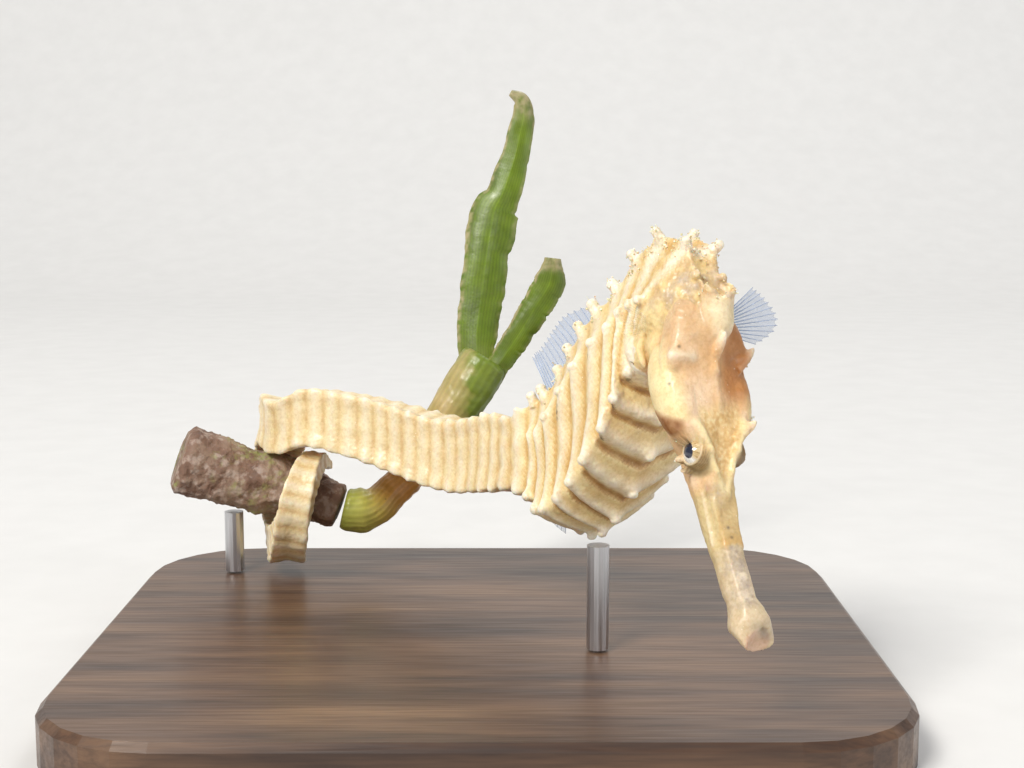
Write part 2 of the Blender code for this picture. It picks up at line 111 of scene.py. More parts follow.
def smooth_curve(keys: Array, values: Array, at: Array) -> Array:
    """Reads a smooth curve through values.

    Args:
        keys: Rising places of the given values.
        values: One value, row or array for each key.
        at: Places to read.

    Returns:
        The curve's values, one for each place.
    """
    keys, values = np.asarray(keys, float), np.asarray(values, float)
    flat = values.reshape(len(keys), -1)
    slope = np.gradient(flat, keys, axis=0)
    at = np.clip(np.atleast_1d(at), keys[0], keys[-1])
    i = np.clip(np.searchsorted(keys, at, "right") - 1, 0, len(keys) - 2)
    step = (keys[i + 1] - keys[i])[:, None]
    t = (at[:, None] - keys[i][:, None]) / step
    out = (
        (2 * t**3 - 3 * t**2 + 1) * flat[i]
        + (t**3 - 2 * t**2 + t) * step * slope[i]
        + (3 * t**2 - 2 * t**3) * flat[i + 1]
        + (t**3 - t**2) * step * slope[i + 1]
    )
    return out.reshape((len(at),) + values.shape[1:])


def to_world(points: Array) -> Array:
    """View-frame millimetres to metres on the stand.

    Args:
        points: Points in the view frame, in millimetres.

    Returns:
        Rows of X, Y, Z in metres.
    """
    p = np.atleast_2d(np.asarray(points, float))
    c, s = math.cos(TIP_ANGLE), math.sin(TIP_ANGLE)
    x = p[:, 0] - BASE_CENTRE[0]
    y = p[:, 1] * c + p[:, 2] * s - BASE_CENTRE[1]
    z = -p[:, 1] * s + p[:, 2] * c + BASE_HEIGHT - BASE_TOP
    return np.stack([x, y, z], 1) * MM


def turn_to_world(v: Array) -> Array:
    """A direction in the view frame, turned onto the stand.

    Args:
        v: Rows of X, Y, Z.

    Returns:
        The turned rows.
    """
    c, s = math.cos(TIP_ANGLE), math.sin(TIP_ANGLE)
    v = np.atleast_2d(np.asarray(v, float))
    return np.stack([v[:, 0], v[:, 1] * c + v[:, 2] * s, -v[:, 1] * s + v[:, 2] * c], 1)


def head_point(along: float, up: float, out: float = 0.0) -> Array:
    """A view-frame point from head measures, taken from the mouth."""
    return HEAD_ORIGIN + along * ALONG + up * CROWNWARD + out * SIDE


def head_measures(points: Array) -> Array:
    """Along, up and out of view-frame points, from the mouth."""
    return (points - HEAD_ORIGIN) @ HEAD_AXES.T


def trunk_point(back: float, up: float, out: float = 0.0) -> Array:
    """A view-frame point from trunk measures."""
    return TRUNK_ORIGIN + back * BACK + up * UP + out * SIDE


@dataclass(frozen=True)
class Noise:
    """Seeded gradient noise on points in space."""

    seed: int = 1

    def _corner(self, cell: Array, rest: Array) -> Array:
        """Dot product of each cell corner's own gradient with the way to the point.

        Args:
            cell: Whole-number corner of each point.
            rest: Way from the corner to the point.

        Returns:
            One value for each point.
        """
        n = cell[:, 0] * 374761393 + cell[:, 1] * 668265263 + cell[:, 2] * 2147483647
        n = (n + self.seed * 974711) & 0xFFFFFFFF
        n = ((n ^ (n >> 13)) * 1274126177) & 0xFFFFFFFF
        n = n ^ (n >> 16)
        angle = (n & 0xFFFF) / 65536.0 * 2 * math.pi
        z = ((n >> 16) & 0x7FFF) / 16384.0 - 1.0
        flat = np.sqrt(np.maximum(0.0, 1 - z * z))
        return rest[:, 0] * flat * np.cos(angle) + rest[:, 1] * flat * np.sin(angle) + rest[:, 2] * z

    def at(self, points: Array, size: float) -> Array:
        """Noise between about -1 and 1.

        Args:
            points: Rows of X, Y, Z.
            size: Distance over which the noise changes.

        Returns:
            One value for each point.
        """
        p = np.asarray(points, float) / size + 100.0
        cell = np.floor(p).astype(np.int64)
        f = p - cell
        w = f * f * f * (f * (f * 6 - 15) + 10)
        total = np.zeros(len(p))
        for dx in (0, 1):
            for dy in (0, 1):
                for dz in (0, 1):
                    d = np.array((dx, dy, dz))
                    share = np.prod(np.where(d == 1, w, 1 - w), axis=1)
                    total += share * self._corner(cell + d, f - d)
        return total * 1.5

    def layered(self, points: Array, size: float, layers: int = 3) -> Array:
        """Noise of several sizes, each half as large and half as strong as the last.

        Args:
            points: Rows of X, Y, Z.
            size: Size of the largest.
            layers: Number of sizes.

        Returns:
            One value for each point.
        """
        total = np.zeros(len(points))
        for i in range(layers):
            total += self.at(points + 17.3 * i, size / 2**i) / 2**i
        return total


# ---------------------------------------------------------------- mesh helpers


@dataclass
class Shell:
    """A closed or open mesh as plain arrays, in view-frame millimetres."""

    points: Array
    faces: list[Array] = field(default_factory=list)

    @staticmethod
    def grid(points: Array, capped: bool = True, tip: float = 0.0) -> Shell:
        """Loft from rows of closed rings.

        Args:
            points: Array of rings by places round by three.
            capped: Whether both ends are filled.
            tip: How far the last ring's middle stands out.

        Returns:
            The shell, its faces turned outward for rings that run clockwise seen from behind.
        """
        rings, round_, _ = points.shape
        index = np.arange(rings * round_).reshape(rings, round_)
        after = np.roll(index, -1, axis=1)
        quads = np.stack([index[:-1], after[:-1], after[1:], index[1:]], -1).reshape(-1, 4)
        shell = Shell(points.reshape(-1, 3), [quads])
        if capped:
            ends = [points[0].mean(0), points[-1].mean(0)]
            if tip:
                ends[1] = ends[1] + unit(points[-1].mean(0) - points[-2].mean(0)) * tip
            n = rings * round_
            shell.points = np.vstack([shell.points, ends])
            first = np.stack([after[0], index[0], np.full(round_, n)], -1)
            last = np.stack([index[-1], after[-1], np.full(round_, n + 1)], -1)
            shell.faces.append(np.vstack([first, last]))
        return shell

    @staticmethod
    def joined(shells: list[Shell]) -> Shell:
        """All shells in one, still separate surfaces.

        Args:
            shells: Shells to join.

        Returns:
            One shell.
        """
        points, faces, base = [], [], 0
        for s in shells:
            points.append(s.points)
            faces += [f + base for f in s.faces]
            base += len(s.points)
        return Shell(np.vstack(points), faces)

    def mesh(self, name: str, world: bool = True) -> Mesh:
        """Blender mesh of the shell.

        Args:
            name: Name of the mesh.
            world: Whether to set it on the stand, in metres.

        Returns:
            The mesh.
        """
        mesh = bpy.data.meshes.new(name)
        points = to_world(self.points) if world else self.points
        mesh.vertices.add(len(points))
        mesh.vertices.foreach_set("co", points.astype(np.float32).ravel())
        sizes = np.concatenate([np.full(len(f), f.shape[1]) for f in self.faces])
        corners = np.concatenate([f.ravel() for f in self.faces])
        mesh.loops.add(len(corners))
        mesh.loops.foreach_set("vertex_index", corners.astype(np.int32))
        mesh.polygons.add(len(sizes))
        starts = np.concatenate([[0], np.cumsum(sizes)[:-1]])
        mesh.polygons.foreach_set("loop_start", starts.astype(np.int32))
        mesh.update(calc_edges=True)
        mesh.validate()
        return mesh


def add_piece(name: str, mesh: Mesh, *materials: Material, smooth: bool = True) -> Piece:
    """An object from a mesh, with its materials.

    Args:
        name: Name of the piece.
        mesh: Its mesh.
        materials: Its materials, in order.
        smooth: Whether its faces are shaded smooth.

    Returns:
        The object.
    """
    obj = bpy.data.objects.new(name, mesh)
    bpy.context.scene.collection.objects.link(obj)
    for m in materials:
        mesh.materials.append(m)
    mesh.polygons.foreach_set("use_smooth", np.full(len(mesh.polygons), smooth))
    return obj


def ring_frame(travel: Array, hint: Array) -> tuple[Array, Array]:
    """Two directions square to a path, turned as little as the hint allows."""
    a = unit(np.cross(travel, hint))
    return a, np.cross(a, travel)


def tube(
    path: Array, radii: Array, sides: int = 12, hint: Point = (0.1, 1.0, 0.05),
    flat: Array | float = 1.0
) -> Array:
    """Rings round a path.

    Args:
        path: Points along the middle.
        radii: Radius at each point.
        sides: Points in each ring.
        hint: Direction roughly square to the path, across which it may be flattened.
        flat: Thickness across the hint as a part of the radius.

    Returns:
        Array of rings by sides by three.
    """
    travel = unit(np.gradient(path, axis=0))
    a, b = ring_frame(travel, np.asarray(hint, float))
    t = np.linspace(0, 2 * math.pi, sides, endpoint=False)
    flat = np.broadcast_to(np.asarray(flat, float), (len(path),))
    wide = np.cos(t)[None, :, None] * a[:, None] * radii[:, None, None]
    deep = np.sin(t)[None, :, None] * b[:, None] * (radii * flat)[:, None, None]
    return path[:, None] + wide + deep


def set_colours(mesh: Mesh, name: str, rgb: Array) -> None:
    """Stores a colour for each vertex.

    Args:
        mesh: Mesh to colour.
        name: Name of the layer.
        rgb: Colour of each vertex.
    """
    layer = mesh.color_attributes.new(name, "FLOAT_COLOR", "POINT")
    rgba = np.ones((len(rgb), 4), np.float32)
    rgba[:, :3] = np.clip(rgb, 0, 1)
    layer.data.foreach_set("color", rgba.ravel())


def lay(base: Array, colour: Colour, amount: Array) -> Array:
    """Lays a colour over a base, by a part from 0 to 1 at each point."""
    a = np.clip(amount, 0, 1)[:, None]
    return base * (1 - a) + np.array(colour) * a


# ---------------------------------------------------------------- finishes


class Nodes:
    """Short-hand for building a material's node tree."""

    def __init__(self, name: str) -> None:
        """Starts a material with one Principled shader.

        Args:
            name: Name of the material.
        """
        self.material = bpy.data.materials.new(name)
        self.material.use_nodes = True
        self.tree = self.material.node_tree
        self.shader = self.tree.nodes["Principled BSDF"]
        self.coords = self.add("ShaderNodeTexCoord").outputs["Object"]

    def add(self, kind: str, inputs: dict | None = None, **settings: object) -> bpy.types.Node:
        """Adds a node.

        Args:
            kind: Node type.
            inputs: Socket names to values or to output sockets.
            settings: Properties of the node.

        Returns:
            The new node.
        """
        node = self.tree.nodes.new(kind)
        for key, value in settings.items():
            setattr(node, key, value)
        for key, value in (inputs or {}).items():
            self.put(node.inputs[key], value)
        return node

    def put(self, socket: Socket, value: object) -> None:
        """Sets or links one socket.

        Args:
            socket: Input to set.
            value: Value, or the socket to read it from.
        """
        if isinstance(value, Socket):
            self.tree.links.new(value, socket)
        elif isinstance(value, tuple) and len(value) == 3 and socket.type == "RGBA":
            socket.default_value = (*value, 1.0)
        else:
            socket.default_value = value

    def noise(
        self, size: float, detail: float = 3.0, rough: float = 0.55, where: Socket | None = None
    ) -> Socket:
        """Adds a noise pattern.

        Args:
            size: About how far across its features are, in metres.
            detail: Number of finer layers.
            rough: How strong the finer layers are.
            where: Coordinates to read it at, or None for the object's own.

        Returns:
            Its value, 0 to 1.
        """
        inputs = {"Vector": where or self.coords, "Scale": 1.0 / size}
        inputs |= {"Detail": detail, "Roughness": rough}
        return self.add("ShaderNodeTexNoise", inputs).outputs["Fac"]

    def stretched(self, scale: Point) -> Socket:
        """Coordinates scaled along each axis, to draw a pattern out."""
        return self.add("ShaderNodeMapping", {"Vector": self.coords, "Scale": scale}).outputs[0]

    def cells(self, size: float) -> Socket:
        """Distance in a cell pattern of the given size."""
        node = self.add("ShaderNodeTexVoronoi", {"Vector": self.coords, "Scale": 1.0 / size})
        return node.outputs["Distance"]

    def ramp(self, value: object, *stops: tuple[float, Colour | float]) -> Socket:
        """Maps a value through colour stops.

        Args:
            value: Value to map.
            stops: Places and colours.

        Returns:
            The colour output.
        """
        node = self.add("ShaderNodeValToRGB", {"Fac": value})
        band = node.color_ramp
        while len(band.elements) < len(stops):
            band.elements.new(0.5)
        for element, (place, colour) in zip(band.elements, stops):
            rgb = colour if isinstance(colour, tuple) else (colour,) * 3
            element.position, element.color = place, (*rgb, 1.0)
        return node.outputs["Color"]

    def mix(self, a: object, b: object, amount: object, mode: str = "MIX") -> Socket:
        """Mixes two colours.

        Args:
            a: First value or socket.
            b: Second value or socket.
            amount: Part of the second, 0 to 1.
            mode: Way of mixing.

        Returns:
            The mixed colour.
        """
        node = self.add("ShaderNodeMix", data_type="RGBA", blend_type=mode)
        for index, value in ((0, amount), (6, a), (7, b)):
            self.put(node.inputs[index], value)
        return node.outputs[2]

    def math(self, operation: str, a: object, b: object = 0.5) -> Socket:
        """One sum on two values.

        Args:
            operation: Kind of sum.
            a: First value or socket.
            b: Second value or socket.

        Returns:
            The result.
        """
        node = self.add("ShaderNodeMath", operation=operation)
        self.put(node.inputs[0], a)
        self.put(node.inputs[1], b)
        return node.outputs[0]

    def bump(self, height: object, strength: float, depth: float, below: object = None) -> Socket:
        """Raises the surface by a height pattern, depth in metres.

        Args:
            height: Pattern to raise by.
            strength: Strength, 0 to 1.
            depth: Height of the pattern, in metres.
            below: Normal to build on.

        Returns:
            The normal output.
        """
        inputs = {"Height": height, "Strength": strength, "Distance": depth}
        if below is not None:
            inputs["Normal"] = below
        return self.add("ShaderNodeBump", inputs).outputs["Normal"]

    def finish(self, **values: object) -> Material:
        """Sets the shader's sockets, their names written with _ for spaces.

        Args:
            values: Socket names and values.

        Returns:
            The material.
        """
        for key, value in values.items():
            self.put(self.shader.inputs[key.replace("_", " ")], value)
        return self.material


@dataclass(frozen=True)
class SkinFinish:
    """Moist, slightly translucent skin over bone, coloured from the stored tints."""

    rough: float = 0.4
    glow: float = 0.28
    depth: float = 0.0011

    def make(self) -> Material:
        """Builds the material.

        Returns:
            The material.
        """
        n = Nodes("skin")
        tint = n.add("ShaderNodeVertexColor", layer_name="tint").outputs["Color"]
        blotch = n.ramp(n.noise(0.0016, 4), (0.35, (0.86, 0.80, 0.70)), (0.62, (1.0, 1.0, 1.0)))
        fine = n.ramp(n.noise(0.00032, 3), (0.36, (0.84, 0.78, 0.68)), (0.55, (1.0, 1.0, 1.0)))
        colour = n.mix(tint, blotch, 0.75, "MULTIPLY")
        colour = n.mix(colour, fine, 0.55, "MULTIPLY")
        light = n.ramp(n.cells(0.0006), (0.02, 1.0), (0.16, 0.0))
        spots = n.math("MULTIPLY", light, n.ramp(n.noise(0.0028, 2), (0.5, 0.0), (0.66, 0.75)))
        colour = n.mix(colour, (1.0, 0.93, 0.76), spots)
        grain = n.bump(n.noise(0.00022, 4), 0.28, 0.00006)
        pores = n.bump(n.cells(0.00042), 0.3, 0.00005, grain)
        rough = n.ramp(n.noise(0.0009, 3), (0.3, self.rough - 0.1), (0.7, self.rough + 0.16))
        return n.finish(
            Base_Color=colour,
            Roughness=rough,
            Normal=n.bump(n.noise(0.0011, 4), 0.35, 0.00012, pores),
            Subsurface_Weight=self.glow,
            Subsurface_Radius=(1.0, 0.55, 0.25),
            Subsurface_Scale=self.depth,
            Coat_Weight=0.18,
            Coat_Roughness=0.22,
        )


@dataclass(frozen=True)
class EyeFinish:
    """Dark oval pupil in a silver and gold iris, wet on top; its silver side is partly a painted
    reflection. The piece's own Z is the gaze.
    """

    pupil: tuple[float, float] = (0.00082, 0.00060)

    def make(self) -> Material:
        """Builds the material.

        Returns:
            The material.
        """
        n = Nodes("eye_wet")
        parts = n.add("ShaderNodeSeparateXYZ", {"Vector": n.coords})
        x, y = parts.outputs["X"], parts.outputs["Y"]
        a = n.math("POWER", n.math("ABSOLUTE", n.math("DIVIDE", x, self.pupil[0])), 2.0)
        b = n.math("POWER", n.math("ABSOLUTE", n.math("DIVIDE", y, self.pupil[1])), 2.0)
        reach = n.math("SQRT", n.math("ADD", a, b))
        angle = n.math("ARCTAN2", y, x)
        turn, out = n.math("MULTIPLY", angle, 3.2), n.math("MULTIPLY", reach, 0.35)
        spokes_at = n.add("ShaderNodeCombineXYZ", {"X": turn, "Y": out})
        spokes = n.noise(0.42, 3, 0.6, spokes_at.outputs[0])
        spokes = n.math("ADD", n.math("MULTIPLY", spokes, 0.55), 0.24)
        gold = n.ramp(
            spokes, (0.32, (0.14, 0.07, 0.02)), (0.47, (0.42, 0.27, 0.10)), (0.62, (0.75, 0.60, 0.34))
        )
        # Silver on one side of the iris: partly its own colour, partly a painted reflection
        silver = n.ramp(spokes, (0.3, (0.45, 0.42, 0.36)), (0.6, (0.93, 0.91, 0.84)))
        half = n.math("ADD", n.math("MULTIPLY", x, 450.0), n.math("MULTIPLY", y, -900.0))
        iris = n.mix(gold, silver, n.ramp(half, (0.0, 0.0), (0.35, 1.0)))
        outer = n.ramp(n.math("MULTIPLY", reach, 0.4), (0.62, 0.0), (0.95, 1.0))
        iris = n.mix(iris, (0.62, 0.52, 0.33), outer)
        edge = n.ramp(n.math("MULTIPLY", reach, 0.5), (0.475, 1.0), (0.52, 0.0))
        pupil = n.ramp(n.noise(0.0006, 2), (0.3, (0.006, 0.008, 0.02)), (0.7, (0.02, 0.024, 0.05)))
        colour = n.mix(iris, pupil, edge)
        return n.finish(
            Base_Color=colour,
            Roughness=n.ramp(n.noise(0.0004), (0.3, 0.12), (0.7, 0.26)),
            Normal=n.bump(spokes, 0.15, 0.00004),
            Coat_Weight=1.0,
            Coat_Roughness=0.03,
        )


@dataclass(frozen=True)
class FinFinish:
    """Clear fin skin or the bony rays in it."""

    name: str
    colour: Colour
    alpha: float

    def make(self) -> Material:
        """Builds the material.

        Returns:
            The material.
        """
        n = Nodes(self.name)
        pale = tuple(min(1.0, c * 1.15) for c in self.colour)
        colour = n.ramp(n.noise(0.0008, 3), (0.35, self.colour), (0.65, pale))
        return n.finish(
            Base_Color=colour,
            Roughness=n.ramp(n.noise(0.0005, 2), (0.3, 0.16), (0.7, 0.34)),
            Normal=n.bump(n.noise(0.0004, 3), 0.3, 0.00005),
            Alpha=self.alpha,
            Coat_Weight=0.3,
            Coat_Roughness=0.1,
        )


@dataclass(frozen=True)
class GrowthFinish:
    """Pale fuzz that grows on the skin."""

    def make(self) -> Material:
        """Builds the material.

        Returns:
            The material.
        """
        n = Nodes("growth")
        return n.finish(
            Base_Color=n.ramp(
                n.noise(0.0006, 2),
                (0.35, (0.50, 0.40, 0.20)), (0.55, (0.85, 0.76, 0.52)), (0.7, (0.93, 0.9, 0.8)),
            ),
            Roughness=n.ramp(n.noise(0.0004), (0.3, 0.4), (0.7, 0.7)),
            Normal=n.bump(n.noise(0.0002), 0.4, 0.00005),
            Subsurface_Weight=0.3,
            Subsurface_Scale=0.0006,
        )


@dataclass(frozen=True)
class StemFinish:
    """Old stem crusted with growth."""

    def make(self) -> Material:
        """Builds the material.

        Returns:
            The material.
        """
        n = Nodes("stem_crusted")
        ground = n.ramp(
            n.noise(0.004, 5), (0.3, (0.10, 0.05, 0.03)), (0.5, (0.21, 0.12, 0.08)),
            (0.7, (0.34, 0.24, 0.17))
        )
        crust = n.ramp(n.noise(0.0012, 4), (0.5, 0.0), (0.62, 0.8))
        colour = n.mix(ground, (0.42, 0.32, 0.26), crust)
        patches = n.ramp(n.noise(0.005, 3), (0.52, 0.0), (0.62, 0.7))
        moss = n.math("MULTIPLY", patches, n.ramp(n.noise(0.0008), (0.4, 0.0), (0.6, 1.0)))
        colour = n.mix(colour, (0.30, 0.33, 0.09), moss)
        grain = n.bump(n.noise(0.0005, 4), 0.6, 0.0002)
        return n.finish(
            Base_Color=colour,
            Roughness=n.ramp(n.noise(0.001), (0.3, 0.55), (0.7, 0.85)),
            Normal=n.bump(n.noise(0.002, 5), 0.6, 0.0005, grain),
            Subsurface_Weight=0.06,
            Subsurface_Scale=0.001,
        )


@dataclass(frozen=True)
class LeafFinish:
    """Fresh leaf with fine lengthwise veins; tint gives its green."""

    def make(self) -> Material:
        """Builds the material.

        Returns:
            The material.
        """
        n = Nodes("leaf_fresh")
        tint = n.add("ShaderNodeVertexColor", layer_name="tint").outputs["Color"]
        patches = n.ramp(n.noise(0.003, 4), (0.35, (0.72, 0.78, 0.55)), (0.6, (1.0, 1.0, 1.0)))
        colour = n.mix(tint, patches, 0.6, "MULTIPLY")
        specks = n.ramp(n.cells(0.0014), (0.05, 1.0), (0.13, 0.0))
        specks = n.math("MULTIPLY", specks, n.ramp(n.noise(0.006), (0.5, 0.0), (0.62, 0.6)))
        colour = n.mix(colour, (0.16, 0.13, 0.04), specks)
        return n.finish(
            Base_Color=colour,
            Roughness=n.ramp(n.noise(0.0012), (0.3, 0.28), (0.7, 0.5)),
            Normal=n.bump(n.noise(0.0006, 4), 0.3, 0.00012),
            Subsurface_Weight=0.12,
            Subsurface_Radius=(0.5, 1.0, 0.2),
            Subsurface_Scale=0.001,
            Coat_Weight=0.06,
            Coat_Roughness=0.3,
        )


@dataclass(frozen=True)
class WoodFinish:
    """Dark oiled wood with long grain."""

    def make(self) -> Material:
        """Builds the material.

        Returns:
            The material.
        """
        n = Nodes("base_walnut")
        rings = n.noise(0.0045, 4, 0.6, n.stretched((0.09, 1.0, 1.0)))
        fibre = n.noise(0.0005, 3, 0.6, n.stretched((0.04, 1.0, 1.0)))
        colour = n.ramp(
            rings, (0.32, (0.045, 0.02, 0.01)), (0.5, (0.12, 0.06, 0.03)), (0.7, (0.2, 0.11, 0.055))
        )
        colour = n.mix(colour, n.ramp(fibre, (0.35, 0.45), (0.6, 1.0)), 0.5, "MULTIPLY")
        return n.finish(
            Base_Color=colour,
            Roughness=n.ramp(fibre, (0.3, 0.5), (0.7, 0.34)),
            Normal=n.bump(fibre, 0.25, 0.0001),
            Coat_Weight=0.2,
            Coat_Roughness=0.25,
        )


@dataclass(frozen=True)
class SteelFinish:
    """Brushed steel rod."""

    def make(self) -> Material:
        """Builds the material.

        Returns:
            The material.
        """
        n = Nodes("rod_brushed")
        brushed = n.noise(0.0003, 3, 0.6, n.stretched((1.0, 1.0, 0.03)))
        return n.finish(
            Base_Color=n.ramp(brushed, (0.3, (0.50, 0.50, 0.51)), (0.7, (0.68, 0.68, 0.70))),
            Metallic=1.0,
            Roughness=n.ramp(brushed, (0.3, 0.28), (0.7, 0.42)),
            Normal=n.bump(brushed, 0.1, 0.00003),
        )


@dataclass(frozen=True)
class FloorFinish:
    """Plain pale paper floor."""

    def make(self) -> Material:
        """Builds the material.

        Returns:
            The material.
        """
        n = Nodes("floor_paper")
        colour = n.ramp(n.noise(0.01, 3), (0.3, (0.74, 0.735, 0.72)), (0.7, (0.77, 0.765, 0.75)))
        return n.finish(
            Base_Color=colour, Roughness=0.8, Normal=n.bump(n.noise(0.0008, 3), 0.05, 0.0001)
        )


# ---------------------------------------------------------------- the spine


@dataclass(frozen=True)
class SpineFrames:
    """Directions and half sizes of the body at many ring numbers."""

    middle: Array
    up: Array
    side: Array
    travel: Array
    half_up: Array
    half_out: Array
    tail: Array


@dataclass
class Perch:
    """Stem that the tail grips, its green shoot and two cut blades."""

    middle: Path = (
        ((-44.0, 50.6, -9.6), 4.6),
        ((-40.0, 51.8, -11.0), 4.5),
        ((-35.0, 52.4, -12.7), 4.2),
        ((-29.6, 52.5, -13.6), 3.9),
        ((-25.4, 52.0, -15.2), 3.4),
        ((-21.9, 51.8, -16.6), 2.9),
        ((-18.6, 52.6, -16.4), 2.6),
        ((-15.8, 54.2, -14.0), 2.3),
        ((-12.6, 56.0, -10.6), 2.4),
        ((-9.4, 57.6, -5.6), 2.9),
        ((-5.8, 58.2, -0.4), 3.6),
        ((-3.4, 58.4, 3.4), 3.5),
    )
    stem_end: float = 22.6
    blade_long: Path = (
        ((-4.6, 59.0, 1.6), 2.2),
        ((-4.8, 59.6, 6.5), 2.8),
        ((-4.2, 60.2, 12.0), 2.95),
        ((-3.6, 60.6, 17.0), 3.15),
        ((-2.9, 61.0, 21.5), 3.4),
        ((-2.3, 61.2, 24.3), 3.2),
        ((-1.4, 61.2, 26.0), 2.5),
        ((-0.5, 61.3, 28.4), 2.3),
        ((0.5, 61.4, 31.6), 1.95),
        ((1.1, 61.5, 34.4), 1.7),
        ((1.6, 61.5, 37.2), 1.5),
        ((1.2, 61.5, 39.4), 1.1),
        ((-0.2, 61.5, 40.3), 0.45),
    )
    blade_short: Path = (
        ((-2.6, 57.6, 1.4), 1.6),
        ((0.6, 57.2, 6.2), 1.8),
        ((3.3, 56.6, 10.6), 2.1),
        ((5.1, 56.2, 13.7), 2.1),
        ((5.5, 56.0, 17.0), 1.1),
    )
    blade_thickness: float = 0.8
    around: int = 96
    sheath_ribs: int = 22
    blade_veins: int = 44
    sheath_tones: tuple[tuple[float, Colour], ...] = (
        (0.0, (0.34, 0.36, 0.06)),
        (0.08, (0.50, 0.46, 0.10)),
        (0.2, (0.50, 0.26, 0.05)),
        (0.45, (0.42, 0.25, 0.07)),
        (0.7, (0.50, 0.38, 0.16)),
        (1.0, (0.46, 0.38, 0.16)),
    )
    shoot_tone: Colour = (0.17, 0.24, 0.02)
    blade_tone: Colour = (0.12, 0.18, 0.008)
    crust_tone: Colour = (0.40, 0.34, 0.19)
    foot_tone: Colour = (0.36, 0.36, 0.08)
    cut_tone: Colour = (0.46, 0.44, 0.2)

    def stem_at(self, x: float) -> Array:
        """Middle and radius of the stem where it crosses X."""
        rows = [(*p, r) for p, r in self.middle]
        return smooth_curve([r[0] for r in rows], rows, x)[0]

    def _path(self, rows: Path, first: float, last: float | None, stops: int) -> tuple[Array, Array]:
        """Points and radii along a middle line, between two lengths.

        Args:
            rows: Middle line as points and half widths.
            first: Length at the first point.
            last: Length at the last, or None for all of it.
            stops: Number of points.

        Returns:
            The points, and the radius at each.
        """
        table = np.array([(*p, r) for p, r in rows])
        keys = lengths(table[:, :3])
        out = smooth_curve(keys, table, np.linspace(first, last or keys[-1], stops))
        return out[:, :3], out[:, 3]

    def build_stem(self, finish: Material) -> Piece:
        """Lumpy stem with a rounded, broken-looking cut at its far end.

        Args:
            finish: Material of the piece.

        Returns:
            The stem.
        """
        path, radii = self._path(self.middle, 0.35, self.stem_end - 0.1, 150)
        rings = tube(path, radii, self.around)
        outward = unit(rings - path[:, None])
        flat = rings.reshape(-1, 3)
        lumps = Noise(5).layered(flat, 3.2, 4) * 0.42
        lumps = lumps + np.maximum(0, Noise(6).layered(flat, 0.9, 3)) * 0.25
        around = np.arctan2(outward[..., 2], -outward[..., 1]).ravel()
        grooves = np.abs(np.sin(around * 5 + Noise(7).at(flat, 6.0) * 2)) * 0.16
        rings = rings + outward * (lumps - grooves - 0.1).reshape(rings.shape[:2])[..., None]
        rings = self._rounded_ends(rings, path, 0.9)
        return add_piece("stem", Shell.grid(rings).mesh("stem"), finish)

    @staticmethod
    def _rounded_ends(rings: Array, path: Array, reach: float) -> Array:
        """Draws the last rings in, so the ends are not sharp.

        Args:
            rings: Rings of points.
            path: Points along the middle.
            reach: Length drawn in at each end.

        Returns:
            The changed rings.
        """
        at = lengths(path)
        near = np.minimum(at, at[-1] - at)
        keep = 1 - 0.16 * (1 - np.clip(near / reach, 0, 1)) ** 2
        return path[:, None] + (rings - path[:, None]) * keep[:, None, None]

    def build_shoot(self, finish: Material) -> Piece:
        """Shoot wrapped in a split sheath, with ridged sides, and its cut top.

        Args:
            finish: Material of the piece.

        Returns:
            The shoot.
        """
        path, radii = self._path(self.middle, self.stem_end + 0.5, None, 170)
        rings = tube(path, radii, self.around)
        outward = unit(rings - path[:, None])
        count = len(path)
        t = np.linspace(0, 1, count)[:, None]
        a = np.linspace(0, 2 * math.pi, self.around, endpoint=False)[None]
        veins = 0.025 * np.cos(a * self.sheath_ribs)
        edge = np.mod(a - 1.9 - 1.6 * t, 2 * math.pi) / (2 * math.pi)
        wrap = 0.34 * (1 - edge) * ease(0.0, 0.04, edge)
        joint = 0.3 * bell(t - 0.08, 0.03) + 0.2 * bell(t - 0.33, 0.02)
        flat = rings.reshape(-1, 3)
        lumps = Noise(8).layered(flat, 2.2, 3).reshape(count, self.around) * 0.14
        rings = rings + outward * (veins + wrap + joint + lumps - 0.22)[..., None]
        rings = self._rounded_ends(rings, path, 0.8)
        mesh = Shell.grid(rings).mesh("shoot")
        stops, tones = zip(*self.sheath_tones)
        old = smooth_curve(stops, tones, t[:, 0])[:, None] * np.ones((1, self.around, 1))
        green = np.array(self.shoot_tone)
        ragged = t + 0.09 * np.sin(2 * a) + 0.5 * lumps
        mix = ease(0.55, 0.8, t) * (1 - ease(0.03, 0.35, edge)) + ease(0.8, 0.98, ragged) * 0.95
        mix = np.clip(mix, 0, 0.95)[..., None]
        # Painted shade under the sheath's overlapping lip, and painted light and shade on its ribs:
        # lighter on them, darker between
        lip_shade = (bell(edge, 0.05) + bell(edge - 1.0, 0.05)) * 0.6
        rgb = (old * (1 - mix) + green * mix).reshape(-1, 3)
        shade = (1 - 0.5 * lip_shade) * (1 + 0.08 * np.cos(a * self.sheath_ribs))
        rgb = rgb * shade.reshape(-1, 1)
        set_colours(mesh, "tint", np.vstack([rgb, [green * 1.5] * 2]))
        return add_piece("shoot", mesh, finish)

